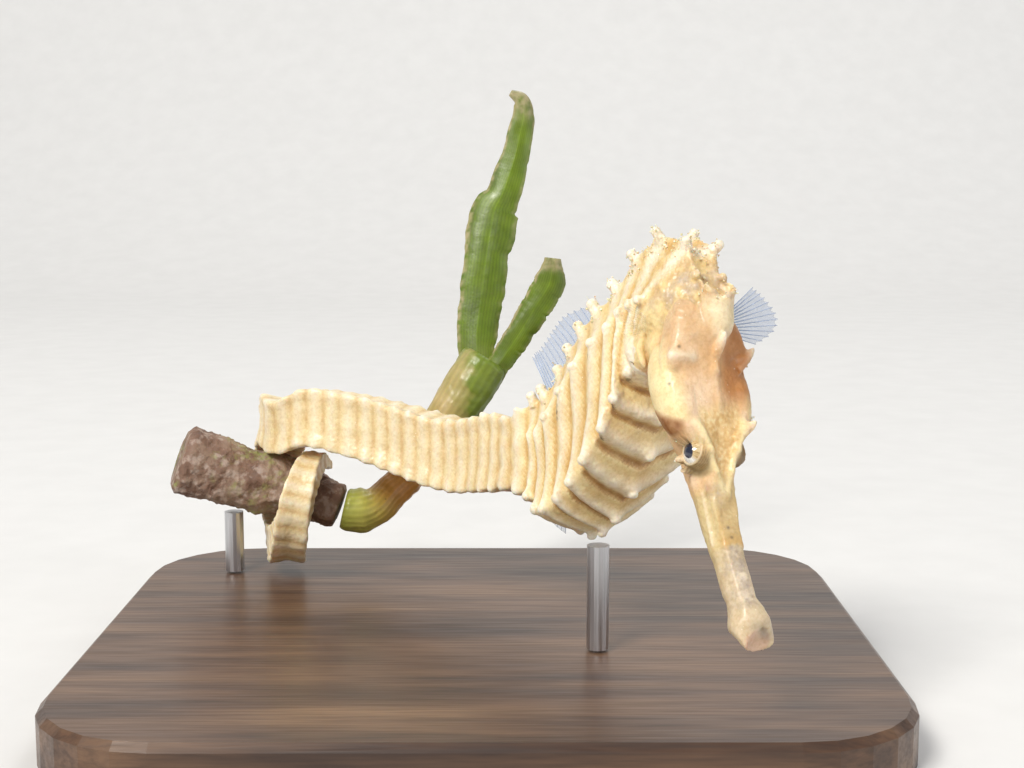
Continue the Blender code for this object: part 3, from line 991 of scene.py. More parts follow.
    def build_blade(self, name: str, rows: Path, finish: Material) -> Piece:
        """One leaf blade: channelled across, veined lengthwise, thin at its edges.

        Args:
            name: Name of the piece.
            rows: Middle line as points and half widths.
            finish: Material of the piece.

        Returns:
            The blade.
        """
        path, wide = self._path(rows, 0.0, None, 150)
        travel = unit(np.gradient(path, axis=0))
        across, face = ring_frame(travel, np.array((0.05, 1.0, 0.0)))
        s = np.linspace(-1, 1, 61)
        t = np.linspace(0, 1, len(path))[:, None]
        thick = self.blade_thickness / 2 * (1 - np.abs(s) ** 3 * 0.8)[None]
        bend = 0.14 * (s**2 - 0.3)[None] * wide[:, None]
        wave = 0.25 * np.sin(t * 11 + s[None] * 1.5) * np.abs(s)[None]
        veins = 0.012 * np.cos(s * self.blade_veins)[None] + 0.06 * bell(s, 0.07)[None]
        edge_at = np.column_stack([np.zeros(len(path)), np.zeros(len(path)), t[:, 0] * 40])
        ragged = [
            1 + 0.11 * Noise(k).layered(edge_at, 4.5, 4)
            - 0.1 * bell(Noise(k + 3).at(edge_at, 2.2) - 0.6, 0.2)
            for k in (51, 52)
        ]
        reach = wide[:, None] * np.where(s[None] < 0, ragged[0][:, None], ragged[1][:, None])
        top = path[:, None] + across[:, None] * (s[None] * reach)[..., None]
        upper = top + face[:, None] * (bend + wave + thick + veins)[..., None]
        lower = top + face[:, None] * (bend + wave - thick)[..., None]
        rings = np.concatenate([upper, lower[:, ::-1]], axis=1)
        mesh = Shell.grid(rings).mesh(name)
        stripe = np.concatenate([s, s[::-1]])[None]
        flat = rings.reshape(-1, 3)
        veined = 1 + 0.12 * np.cos(stripe * self.blade_veins) + 0.25 * bell(stripe, 0.09)
        rgb = np.array(self.blade_tone) * veined[..., None] * np.ones((len(path), 1, 1))
        rgb = rgb.reshape(-1, 3) * (1 + 0.3 * Noise(9).layered(flat, 3.0, 3))[:, None]
        mottle = Noise(10).layered(flat, 0.9, 3)
        all_over = np.ones((len(path), stripe.shape[1]))
        rim = (ease(0.72, 1.0, np.abs(stripe)) * all_over).ravel()
        left = ((stripe * np.sign(across[0, 0]) < 0) * all_over).ravel()
        old = (ease(0.86, 0.97, t) * all_over).ravel()
        low = 0.3 * ((1 - ease(0.0, 0.14, t)) * all_over).reshape(-1, 1)
        crust = rim * (0.25 + 0.6 * left) * (1 + 1.6 * mottle) + old * (0.9 + 0.8 * mottle)
        crust = np.clip(crust, 0, 1)[:, None]
        rgb = rgb * (1 - crust) + np.array(self.crust_tone) * crust
        rgb = rgb * (1 - low) + np.array(self.foot_tone) * low
        set_colours(mesh, "tint", np.vstack([rgb, [self.cut_tone] * 2]))
        return add_piece(name, mesh, finish)

    def build(self) -> list[Piece]:
        """Builds the perch's pieces in place of their plain solids.

        Returns:
            Stem, shoot and blades.
        """
        stem, leaf = StemFinish().make(), LeafFinish().make()
        trunk = self.build_stem(stem)
        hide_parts("perch_stem")
        shoot = self.build_shoot(leaf)
        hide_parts("perch_shoot")
        blades = [
            self.build_blade("blade_long", self.blade_long, leaf),
            self.build_blade("blade_short", self.blade_short, leaf),
        ]
        return [trunk, shoot, *blades]


@dataclass
class Spine:
    """Middle line and size of nape, trunk and tail, by ring number."""

    perch: Perch
    trunk_rings: tuple = (
        ((5.4, 7.6), (13.7, 2.6), 4.9, 2.3),
        ((6.6, 11.6), (13.9, 3.9), 4.8, 2.1),
        ((8.9, 14.4), (14.3, 4.2), 5.1, 1.7),
        ((14.1, 15.4), (14.9, 2.2), 5.8, 1.1),
        ((18.5, 13.8), (15.7, -0.6), 6.5, 0.5),
        ((22.6, 11.0), (16.9, -4.2), 7.1, 0.1),
        ((26.2, 8.8), (19.2, -8.0), 7.4, 0.0),
        ((29.2, 6.4), (22.3, -12.2), 7.3, 0.0),
        ((32.0, 4.0), (25.2, -14.9), 6.9, 0.0),
        ((34.6, 1.5), (28.0, -16.7), 6.2, 0.0),
        ((37.4, -0.6), (31.0, -17.0), 5.5, 0.0),
        ((39.4, -1.9), (34.3, -15.4), 4.9, 0.0),
    )
    tail_points: tuple = (
        ((3.6, 27.0, -8.4), 5.1),
        ((0.6, 32.2, -8.4), 5.05),
        ((-1.8, 35.8, -8.7), 4.9),
        ((-5.4, 39.5, -9.0), 4.7),
        ((-10.2, 42.8, -8.2), 4.6),
        ((-14.6, 44.8, -6.9), 4.5),
        ((-20.9, 46.6, -5.2), 4.2),
        ((-26.0, 48.6, -4.5), 3.95),
    )
    coil: tuple = (
        (78.0, -28.9, 3.8),
        (105.0, -30.7, 3.65),
        (140.0, -31.7, 3.45),
        (180.0, -32.0, 3.2),
        (225.0, -31.2, 2.95),
        (270.0, -29.9, 2.7),
        (315.0, -28.6, 2.5),
        (360.0, -27.4, 2.25),
        (395.0, -26.4, 1.8),
        (430.0, -25.3, 1.25),
        (460.0, -24.2, 0.7),
    )
    coil_clear: float = 0.72
    pitch: tuple[float, float] = (2.75, 1.5)
    slant: float = 0.14

    def __post_init__(self) -> None:
        """Works out the control rows and their ring numbers."""
        rows = [self._trunk_row(*ring) for ring in self.trunk_rings]
        for i, (middle, half) in enumerate(self.tail_points):
            up = unit(BACK * max(0.0, 0.22 - 0.14 * i) + UP)
            rows.append((*middle, *up, half, half * 0.93, min(1.0, 0.6 + 0.2 * i)))
        rows += [self._coil_row(*turn) for turn in self.coil]
        self.rows = np.array(rows)
        trunk = len(self.trunk_rings)
        length = lengths(self.rows[trunk - 1 :, :3])
        pitch = self.pitch[0] + (self.pitch[1] - self.pitch[0]) * length / length[-1]
        tail = np.concatenate([[0.0], np.cumsum(np.diff(length) / (pitch[:-1] + pitch[1:]) * 2)])
        self.keys = np.concatenate([np.arange(trunk), trunk - 1 + tail[1:]])
        self.last = float(self.keys[-1])

    @staticmethod
    def _trunk_row(top: tuple, bottom: tuple, half: float, shift: float) -> tuple:
        """Control row of one trunk ring."""
        a, b = trunk_point(*top, shift), trunk_point(*bottom, shift)
        return (*((a + b) / 2), *unit(a - b), np.linalg.norm(a - b) / 2, half, 0.0)

    def _coil_row(self, angle: float, x: float, half: float) -> tuple:
        """Control row of the tail on the stem, at an angle round it.

        Args:
            angle: Degrees round the stem.
            x: Place along the stem.
            half: Half width of the tail.

        Returns:
            Middle, up, half sizes and 1 for tail.
        """
        a = math.radians(angle)
        _, y, z, radius = self.perch.stem_at(x)
        out = np.array((0.0, -math.cos(a), math.sin(a)))
        middle = np.array((x, y, z)) + out * (radius + half + GAP + self.coil_clear)
        return (*middle, *out, half, half * 0.98, 1.0)

    def frames(self, rings: Array) -> SpineFrames:
        """Reads the body's directions and sizes.

        Args:
            rings: Ring numbers, 0 where the head ends.

        Returns:
            Frames, one for each ring number.
        """
        rows = smooth_curve(self.keys, self.rows, rings)
        near = np.clip(rings, 0.02, self.last - 0.02)
        ahead = smooth_curve(self.keys, self.rows[:, :3], near + 0.02)
        behind = smooth_curve(self.keys, self.rows[:, :3], near - 0.02)
        travel = unit(ahead - behind)
        up = unit(rows[:, 3:6])
        side = unit(np.cross(up, travel))
        return SpineFrames(rows[:, :3], up, side, travel, rows[:, 6], rows[:, 7], rows[:, 8])

    def even_stops(self, first: float, step: float) -> Array:
        """Ring numbers about a step apart in millimetres, from the first to the tail tip.

        Args:
            first: First ring number.
            step: Distance from stop to stop.

        Returns:
            The ring numbers.
        """
        fine = np.linspace(first, self.last, 4000)
        length = lengths(smooth_curve(self.keys, self.rows[:, :3], fine))
        return np.interp(np.arange(0, length[-1], step), length, fine)


# ---------------------------------------------------------------- the body


class Row(Enum):
    """Ridge lines along the body, by place round the half section from belly to back."""

    KEEL = 0.0
    LOWER = 2.0
    FLANK = 4.0
    UPPER = 6.0


@dataclass(frozen=True)
class Relief:
    """Height over the smooth body, and where ridges, hollows and knobs lie."""

    height: Array
    crest: Array
    hollow: Array
    knob: Array


@dataclass
class Body:
    """Nape, trunk and tail: rings of bone under skin."""

    spine: Spine
    around: int = 272
    step: float = 0.16
    neck_section: tuple = (
        (0, -1), (0.5, -0.95), (0.93, -0.84), (0.98, -0.42), (0.88, 0.02), (0.66, 0.5), (0.36, 0.97),
        (0, 0.9)
    )
    trunk_section: tuple = (
        (0, -1), (0.56, -0.84), (1.0, -0.6), (0.87, -0.1), (0.8, 0.40), (0.58, 0.74), (0.40, 1.0),
        (0, 0.92)
    )
    ridge_moves: tuple = (
        (0, (0, 0), (0, 0), (0, 0), (0, 0)),
        (1, (0, 0), (-0.5, -0.4), (0.3, -0.6), (0, 0)),
        (2, (0, 0), (-1.3, -1.5), (0.7, -1.5), (0, 0)),
        (3, (0, 0.2), (-1.7, -0.8), (-0.7, -0.9), (0, -0.2)),
        (4, (0, 0.4), (-0.75, 0.1), (-1.1, 0.85), (0.2, -0.85)),
        (5, (0, 0.5), (-0.6, 0.0), (-1.2, 1.9), (-0.2, -1.4)),
        (6, (0, 0.55), (-0.6, -0.6), (-1.5, 1.7), (0.0, -1.65)),
        (7, (0, 0.75), (-1.1, -0.45), (-1.0, 0.9), (0.0, -1.5)),
        (8, (0, 0.7), (-0.9, 0.0), (-0.9, 0.55), (-0.2, -1.2)),
        (9, (0, 1.0), (0, 0), (0, 0), (-0.3, -1.0)),
        (10, (0, 0.6), (0, 0), (0, 0), (0.4, -0.75)),
        (11, (0, 0.2), (0, 0), (0, 0), (0.8, 0.2)),
        (12.5, (0, 0), (0, 0), (0, 0), (0, 0)),
    )
    tail_section: tuple = (
        (0, -0.86), (0.5, -0.88), (0.93, -0.86), (0.88, -0.3), (0.87, 0.1), (0.88, 0.5), (0.86, 0.93),
        (0, 0.85)
    )
    knob_heights: tuple = (
        (0, 0.0), (2, 0.5), (4, 0.75), (5, 1.25), (6, 1.35),
        (7, 1.0), (8, 1.0), (9, 1.15), (10, 1.1), (12, 0.9),
    )

    def ring_lag(self, s: Array, ring: Array) -> Array:
        """How far each ring's line runs back along the belly, in rings."""
        lag = smooth_curve([0, 1, 2, 4, 7], [0.78, 0.58, 0.34, 0.04, 0.0], s)
        return lag * ease(1.2, 3.5, ring) * (1 - ease(7.5, 10.5, ring))

    def smooth_points(self, rings: Array, s: Array, sign: Array) -> Array:
        """Points of the body before its relief.

        Args:
            rings: Ring numbers.
            s: Place round the half section, 0 belly to 7 back.
            sign: 1 on the animal's right, -1 on its left.

        Returns:
            Array of rings by places by three.
        """
        fr = self.spine.frames(rings)
        places = range(8)
        trunk, neck, tail = (
            smooth_curve(places, t, s)
            for t in (self.trunk_section, self.neck_section, self.tail_section)
        )
        w = fr.tail[:, None, None]
        high = (1 - ease(4.0, 7.5, rings))[:, None, None]
        half = (trunk * (1 - high) + neck * high) * (1 - w) + tail * w
        half = half * (0.66 + 0.34 * ease(0.0, 1.3, rings))[:, None, None]
        slanted = fr.up - (self.spine.slant * (1 - fr.tail))[:, None] * fr.travel
        moves = self._moves(rings, s)
        out = (half[..., 0] * fr.half_out[:, None] + moves[..., 0]) * sign
        out = out[..., None] * fr.side[:, None]
        high = (half[..., 1] * fr.half_up[:, None])[..., None] * slanted[:, None] + moves[..., 1:] * UP
        return fr.middle[:, None] + out + high

    def place(self, ring: float, s: float, sign: float = 1.0) -> Array:
        """One point of the body before its relief."""
        return self.smooth_points(np.array([ring]), np.array([s]), np.array([sign]))[0, 0]

    def _moves(self, rings: Array, s: Array) -> Array:
        """How far each place moves out and up, so that its ridge runs right.

        Args:
            rings: Ring numbers.
            s: Places round the half section.

        Returns:
            Out and up, in millimetres, for each ring and place.
        """
        keys = [row[0] for row in self.ridge_moves]
        table = [sum(row[1:], ()) for row in self.ridge_moves]
        rows = smooth_curve(keys, table, np.minimum(rings, keys[-1])).reshape(-1, 4, 2)
        rows = np.concatenate([rows, rows[:, 3:] * (0, 1)], axis=1)
        out = np.empty((len(rings), len(s), 2))
        for k in range(2):
            out[..., k] = [np.interp(s, (0, 2, 4, 6, 7), row) for row in rows[..., k]]
        return out

    def knob_size(self, row: Row, ring: Array) -> Array:
        """Height in millimetres of the knobs of one row, by ring.

        Args:
            row: Ridge line the knobs stand on.
            ring: Ring numbers.

        Returns:
            One height for each ring.
        """
        ring = np.asarray(ring, float)
        odd = np.mod(np.round(ring), 3) == 0
        tail = self.spine.frames(ring).tail
        thin = 1 - 0.55 * ease(28, self.spine.last, ring)
        if row is Row.KEEL:
            return (1 - tail) * 0.72 * ease(3.5, 5, ring)
        if row is Row.FLANK:
            return (1 - tail) * 0.62 * ease(1.4, 2.4, ring)
        if row is Row.LOWER:
            return ((1 - tail) * 0.85 * ease(1.4, 2.6, ring) + tail * np.where(odd, 0.2, 0.08)) * thin
        trunk = smooth_curve(*zip(*self.knob_heights), ring)
        fine = 1 - 0.55 * ease(21, 27, ring)
        return ((1 - tail) * trunk + tail * np.where(odd, 0.4, 0.24) * fine) * thin

    def relief(self, ring: Array, s: Array) -> Relief:
        """Relief at body coordinates.

        Args:
            ring: Ring numbers.
            s: Places round the half section, of the same shape.

        Returns:
            Heights and masks of that shape.
        """
        shape = ring.shape
        ring, s = ring.ravel(), s.ravel()
        u = ring - self.ring_lag(s, ring)
        nearest = np.round(u)
        p = u - nearest
        tail = smooth_curve(self.spine.keys, self.spine.rows[:, 8], ring)
        fade = ease(0.8, 2.2, ring) * (1 - ease(self.spine.last - 3, self.spine.last, ring))
        belly = (1 - ease(1.9, 2.6, s)) * (1 - tail)
        flank = (1 - belly) * (1 - tail)
        size = 1 - 0.5 * ease(20, self.spine.last, ring)
        wave = 0.5 + 0.5 * np.cos(2 * math.pi * p)
        rib = wave**1.3
        crest = belly * bell(p, 0.22) + flank * rib + tail * rib
        shelf = belly * bell(p - 0.37, 0.13)
        gap = bell(np.abs(p) - 0.5, 0.11)
        groove = flank * gap * (1 - 0.7 * ease(4.2, 5.0, s)) + tail * gap * 0.6
        height = (
            belly * bell(p, 0.22) * 0.5
            + flank * rib * 0.36 * (1 - 0.7 * ease(4.2, 5.0, s)) * ease(1.5, 4.0, ring + 0.8 * (4 - s))
            + tail * rib * 0.11 * size
        )
        height -= 0.55 * shelf + 0.12 * groove * size
        height += belly * 0.16 * np.mod(p + 0.5, 1.0)
        knob = np.zeros_like(height)
        reach = 0.19 + 0.13 * tail
        for row in Row:
            amount = self.knob_size(row, nearest)
            middle = row in (Row.KEEL, Row.FLANK)
            line = bell(s - row.value, reach * 1.2)
            on_trunk, on_tail = (0.08, 0.0) if middle else (0.16, 0.1)
            height += line * (on_trunk * (1 - tail) + on_tail * tail * size)
            spot = bell(s - row.value, reach * 1.15) * bell(p, 0.2)
            height += spot * amount * 0.45
            knob = np.maximum(
                knob, bell(s - row.value, reach) * bell(p, 0.19) * np.clip(amount * 2, 0, 1)
            )
        high = ease(4.2, 5.6, s) * (1 - ease(3.5, 5.5, ring))
        lower = (0.38 * (1 - tail) + 0.1 * tail + 0.4 * high) * ease(0.4, 1.5, ring)
        out = [
            a.reshape(shape)
            for a in (height * fade - lower, crest * fade, (shelf + groove) * fade, knob * fade)
        ]
        return Relief(*out)

    def build(self) -> tuple[Shell, Array, Array]:
        """Lofts the body.

        Returns:
            The closed shell, and ring number and place round for each of its grid points.
        """
        rings = self.spine.even_stops(0.0, self.step)
        t = np.arange(self.around) / self.around
        s = np.where(t < 0.5, t * 14, 14 - t * 14)
        sign = np.where(t < 0.5, 1.0, -1.0)
        points = self.smooth_points(rings, s, sign)
        along = np.gradient(points, axis=0)
        round_ = np.roll(points, -1, axis=1) - np.roll(points, 1, axis=1)
        normal = unit(np.cross(along, round_))
        middle = points.mean(axis=1, keepdims=True)
        normal *= np.sign((normal * (points - middle)).sum(-1, keepdims=True))
        ring_grid = np.broadcast_to(rings[:, None], points.shape[:2])
        s_grid = np.broadcast_to(s[None], points.shape[:2])
        relief = self.relief(ring_grid, s_grid)
        lumps = Noise(2).layered(points.reshape(-1, 3), 2.4, 2).reshape(points.shape[:2]) * 0.1
        points = points + normal * (relief.height + lumps)[..., None]
        return Shell.grid(points), ring_grid.ravel(), s_grid.ravel()

    def knobs(self) -> list[Shell]:
        """Blunt spines where ridges meet, each leaning a little back and crusted.

        Returns:
            One shell for each spine.
        """
        shells = []
        for row in Row:
            last = int(self.spine.last) - 3 if row in (Row.LOWER, Row.UPPER) else 10
            for ring in range(1, last):
                height = float(self.knob_size(row, np.array([float(ring)]))[0])
                if height < 0.2:
                    continue
                s = np.array([row.value])
                lag = float(self.ring_lag(s, np.array([float(ring)]))[0])
                signs = (1.0,) if row is Row.KEEL else (1.0, -1.0)
                for sign in signs:
                    shells.append(self._knob(ring + lag, row, sign, height, ring))
        return shells

    def _knob(self, at: float, row: Row, sign: float, height: float, ring: int) -> Shell:
        """One spine, standing on the body.

        Args:
            at: Ring number of its foot.
            row: Ridge line it stands on.
            sign: 1 on the animal's right, -1 on its left.
            height: Height over the skin.
            ring: Number of its ring.

        Returns:
            The spine.
        """
        rings = np.array([at - 0.06, at, at + 0.06])
        s = np.array([max(row.value - 0.15, 0.0), row.value, min(row.value + 0.15, 7.0)])
        grid = self.smooth_points(rings, s, np.full(3, sign))
        foot = grid[1, 1]
        middle = self.spine.frames(np.array([at])).middle[0]
        normal = unit(np.cross(grid[2, 1] - grid[0, 1], grid[1, 2] - grid[1, 0]))
        normal = normal * np.sign(normal @ (foot - middle)) + 0.75 * unit(foot - middle)
        travel = unit(grid[2, 1] - grid[0, 1])
        out = unit(normal)
        rand = np.random.default_rng(ring * 31 + int(row.value * 7) + (1 if sign > 0 else 2))
        length = height * rand.uniform(0.92, 1.12)
        wide = (0.5 if ring < 12 else 0.36) * (0.72 + 0.34 * height)
        t = np.linspace(0, 1, 18)
        reach = -0.9 + (0.9 + length) * t
        lean = 0.2 * length * t**2
        path = foot + out * reach[:, None] + travel * (lean * (0.6 if ring < 9 else -0.3))[:, None]
        path = path + np.outer(t**2, rand.normal(0, 0.07, 3))
        end = np.clip((t - 0.8) / 0.2, 0, 1) * 0.985
        radii = wide * (1.55 - 0.95 * t + 0.42 * bell(t - 0.82, 0.22)) * np.sqrt(1 - end**2)
        grid = tube(path, np.maximum(radii, 0.05), 16, (0.31, 0.22, 0.93))
        return Shell.grid(grid + rand.normal(0, 0.012, grid.shape))


# ---------------------------------------------------------------- the head


@dataclass(frozen=True)
class Feature:
    """A raised or sunk line on the head between two places (along, up, out), the same on both sides."""

    start: Point
    end: Point
    width: float
    height: float
    both: bool = True

    def at(self, places: Array) -> Array:
        """Height of this feature at head measures.

        Args:
            places: Head measures, in rows.

        Returns:
            One height for each place.
        """
        p = places.copy()
        if self.both:
            p[:, 2] = np.abs(p[:, 2])
        a, b = np.array(self.start), np.array(self.end)
        line = b - a
        t = np.clip(((p - a) @ line) / max(line @ line, 1e-9), 0, 1)
        d = np.linalg.norm(p - (a + t[:, None] * line), axis=1)
        return self.height * bell(d, self.width)


@dataclass
class Head:
    """Head, snout and crown."""

    # Along; half width and its height; shoulder out and up; dip of the roof; top; bottom
    sections: tuple = (
        (0.14, 1.8, 0.45, 1.05, 1.05, 0.05, 1.2, -0.3),
        (-0.6, 2.05, 0.25, 1.25, 1.2, 0.05, 1.5, -1.0),
        (-1.3, 2.15, 0.0, 1.3, 1.35, 0.05, 1.7, -1.7),
        (-2.4, 1.5, -0.1, 1.0, 1.3, 0.05, 1.6, -1.75),
        (-4.2, 1.5, -0.1, 0.95, 1.2, 0.05, 1.5, -1.6),
        (-8.0, 1.5, -0.1, 0.95, 1.2, 0.05, 1.5, -1.7),
        (-12.0, 1.65, -0.1, 1.1, 1.5, 0.02, 1.75, -1.8),
        (-14.4, 1.7, 0.2, 1.3, 2.15, 0.05, 2.3, -1.75),
        (-16.2, 2.0, 0.8, 1.3, 2.95, 0.0, 3.05, -2.0),
        (-18.0, 2.4, 1.6, 1.65, 3.75, -0.1, 3.75, -2.4),
        (-19.8, 2.9, 2.2, 3.0, 4.5, -0.05, 4.4, -2.6),
        (-21.2, 3.7, 2.8, 3.75, 4.6, 0.0, 4.8, -2.7),
        (-22.7, 4.4, 3.2, 4.05, 4.85, 0.0, 5.25, -2.7),
        (-24.3, 4.8, 3.5, 4.35, 5.15, 0.0, 5.6, -2.5),
        (-26.0, 4.9, 3.7, 4.55, 5.75, 0.0, 6.3, -2.2),
        (-27.4, 4.8, 4.0, 4.5, 6.4, 0.0, 7.15, -1.7),
        (-28.3, 4.6, 4.2, 4.2, 6.7, 0.0, 8.0, -1.3),
        (-29.2, 4.3, 4.4, 3.9, 6.9, 0.05, 8.5, -0.9),
        (-31.0, 3.5, 4.7, 3.4, 7.0, 0.15, 8.6, 0.4),
        (-33.4, 2.4, 4.6, 2.3, 6.8, 0.1, 7.9, 2.6),
    )
    gill: tuple[Point, Point] = ((-24.6, 2.6, 2.9), (5.4, 2.9, 2.3))
    gill_lean: float = math.radians(28.0)
    # Middle and half sizes of the flesh that joins the head to the neck, in the middle and at each side
    neck: tuple[tuple[Point, Point], ...] = (
        ((-30.0, 2.2, 0.0), (4.2, 3.0, 3.6)),
        ((-32.4, -2.1, 0.0), (2.4, 2.4, 2.6)),
        ((-31.2, -2.9, 0.0), (2.4, 2.2, 2.6)),
    )
    neck_side: tuple[Point, Point] = ((-31.5, -1.5, 1.8), (2.7, 1.8, 1.8))
    # Root of the side fin: line of its rim, then shift and radius of the rim and of its beds
    arc: tuple[Point, ...] = (
        (-33.8, 2.9, 1.6),
        (-33.1, 1.85, 2.6),
        (-31.8, 0.76, 3.3),
        (-30.6, 0.05, 3.5),
        (-28.8, -0.1, 3.3),
    )
    arc_beds: Path = (((0.0, 0.0, 0.0), 0.42), ((-0.2, -0.7, -0.85), 1.0), ((-0.4, -1.5, -1.9), 1.5))
    eye: Point = (-18.3, 2.4, 1.9)
    eye_radius: float = 1.5
    lid: float = 0.12
    coronet: Point = (-28.85, 7.5, -0.4)
    coronet_lean: float = math.radians(64.0)
    # Rise and radius up the crown's outside, over its rim and down into the cup
    crown_rows: tuple[tuple[float, float], ...] = (
        (-1.8, 0.4), (-0.9, 0.8), (0.0, 1.35), (0.8, 1.62), (1.6, 1.68), (2.9, 1.62), (3.8, 1.68),
        (4.4, 1.8), (4.8, 1.88), (4.9, 1.68), (4.6, 1.4), (4.0, 1.2), (3.6, 0.5),
    )
    # Size, as a part of the rim, and depth of the rings that close the mouth
    mouth_rings: tuple[tuple[float, float], ...] = (
        (0.94, 0.05), (0.86, -0.02), (0.7, -0.1), (0.5, -0.12), (0.3, -0.15), (0.12, -0.15),
    )
    front: float = 0.14
    rear: float = -33.4
    pores: tuple[Point, ...] = (
        (-27.8, 6.7, 4.1), (-17.0, 3.4, -0.1), (-10.8, 1.6, 0.35), (-9.8, 1.5, 0.2),
        (-20.2, 5.0, -1.3), (-29.4, 8.6, -0.4), (-24.8, 4.6, 4.8),
    )
    # Folds of skin round the eye: degrees off the gaze of the lid's edge, and from fold to fold
    lid_edge: float = 57.0
    fold_step: float = 8.5
    around: int = 176
    features: tuple[Feature, ...] = (
        # Ridges from the eye spines to the snout, and the flat forehead between them
        Feature((-20.6, 4.85, 2.95), (-18.0, 3.9, 1.7), 0.42, 0.42),
        Feature((-18.0, 3.9, 1.7), (-16.1, 3.15, 0.92), 0.38, 0.32),
        Feature((-16.1, 3.25, 0.92), (-13.8, 2.3, 0.25), 0.36, 0.3),
        Feature((-20.0, 4.6, 0.0), (-16.8, 3.5, 0.0), 0.9, -0.22, False),
        # Round the eye and down to the snout
        Feature((-15.1, 2.0, 1.7), (-14.6, 1.8, 1.6), 0.34, 0.22),
        Feature((-16.3, 1.6, 2.2), (-14.2, 1.2, 1.8), 0.28, -0.3),
        Feature((-14.7, 1.0, 1.75), (-9.7, 0.1, 1.56), 0.2, 0.13),
        Feature((-16.6, 0.2, 2.3), (-13.2, -0.2, 1.9), 0.5, 0.2),
        Feature((-21.4, 2.0, 4.2), (-20.0, 3.8, 3.4), 0.6, -0.45),
        # Cheek ridge, and the pit under it
        Feature((-26.7, 6.7, 2.7), (-27.2, 6.1, 4.7), 0.55, 0.4, False),
        Feature((-26.4, 6.4, -2.8), (-26.9, 6.2, -4.4), 0.5, 0.35, False),
        Feature((-25.5, 5.9, 4.4), (-24.4, 5.2, 4.4), 0.75, -0.65),
        Feature((-22.6, 6.1, 2.4), (-24.6, 6.7, 2.6), 0.8, 0.25),
        # Crest along the middle, hollows beside it
        Feature((-28.2, 7.7, 0.0), (-25.6, 6.1, 0.0), 0.45, 0.35, False),
        Feature((-25.6, 6.1, 0.0), (-22.0, 5.2, 0.0), 0.5, 0.22, False),
        # Border of the gill cover, in front, under and behind
        Feature((-29.6, 6.1, 4.7), (-26.0, 5.0, 5.0), 0.55, -0.25),
        Feature((-26.0, 4.9, 5.0), (-22.6, 3.0, 4.6), 0.55, -0.25),
        Feature((-22.6, 3.0, 4.5), (-21.8, 0.2, 4.2), 0.5, -0.5),
        Feature((-31.8, 5.6, 4.6), (-30.8, 1.2, 4.8), 0.4, -0.7),
        Feature((-21.0, 0.4, 4.0), (-19.4, 0.2, 3.6), 0.6, -0.3),
        # Snout: a low rib each side of the top, and one lower down
        Feature((-13.6, 1.6, 1.3), (-2.6, 1.4, 1.1), 0.32, 0.22),
        Feature((-13.6, -0.6, 2.1), (-3.0, -0.5, 1.9), 0.4, 0.14),
        Feature((-12.8, 0.9, 1.8), (-3.4, 0.5, 1.7), 0.3, -0.18),
        Feature((-12.6, 1.9, 0.0), (-3.6, 1.7, 0.0), 0.5, -0.14, False),
    )
    plates: tuple[tuple[Point, float, float, float], ...] = (
        ((-31.8, 7.4, 2.6), 1.3, 1.2, 0.32),
    )
    spines: tuple[tuple[Point, Point, float, float, tuple[float, ...]], ...] = (
        ((-19.4, 4.1, 2.4), (-0.62, 0.8, 1.7), 2.1, 0.56, (-1.0,)),
        ((-20.5, 4.3, 2.7), (-0.2, 0.9, 0.35), 0.45, 0.5, (1.0,)),
        ((-26.3, 6.0, 3.7), (-0.9, 0.6, 1.4), 2.0, 0.5, (-1.0,)),
        ((-27.0, 5.9, 4.4), (-0.5, 0.75, 0.6), 0.4, 0.5, (1.0,)),
        ((-18.3, 0.9, 3.0), (0.0, -0.1, 1.0), 0.75, 0.42, (1.0, -1.0)),
        ((-17.2, 0.8, 2.7), (0.15, -0.2, 1.0), 0.7, 0.36, (1.0, -1.0)),
        ((-27.1, 6.9, 0.0), (-0.3, 1.0, 0.0), 2.3, 0.55, (1.0,)),
    )

    def section(self, along: Array) -> Array:
        """Smooth head sections.

        Args:
            along: Places from the mouth, negative towards the crown.

        Returns:
            Array of places by points round by head measures.
        """
        rows = np.array(self.sections)[::-1]
        wide, wide_up, out, high, roof, top, bottom = smooth_curve(rows[:, 0], rows[:, 1:], along).T
        zero, keel = 0 * wide, 0.72 - 0.22 * ease(-14.0, -20.0, along)
        half = (
            (-keel * wide, bottom + 0.28 * (wide_up - bottom)),
            (zero, bottom),
            (keel * wide, bottom + 0.28 * (wide_up - bottom)),
            (wide, wide_up),
            ((wide + out) * 0.54, (wide_up + high) / 2),
            (out, high),
            (out * 0.5, (high + top) / 2 + roof),
            (zero, top),
            (-out * 0.5, (high + top) / 2 + roof),
        )
        t = np.arange(self.around) / self.around
        s = np.where(t < 0.5, t * 12, 12 - t * 12)
        places = smooth_curve(range(-1, 8), np.array(half), s)
        sign = np.where(t < 0.5, 1.0, -1.0)[:, None]
        side = (places[:, 0] * sign).T - 0.3 * ease(-2.6, 0.0, along)[:, None]
        return np.stack([np.broadcast_to(along, places[:, 0].shape).T, places[:, 1].T, side], -1)

    def eye_middle(self, sign: float) -> Array:
        """Middle of one eye in the view frame."""
        return head_point(self.eye[0], self.eye[1], sign * self.eye[2])

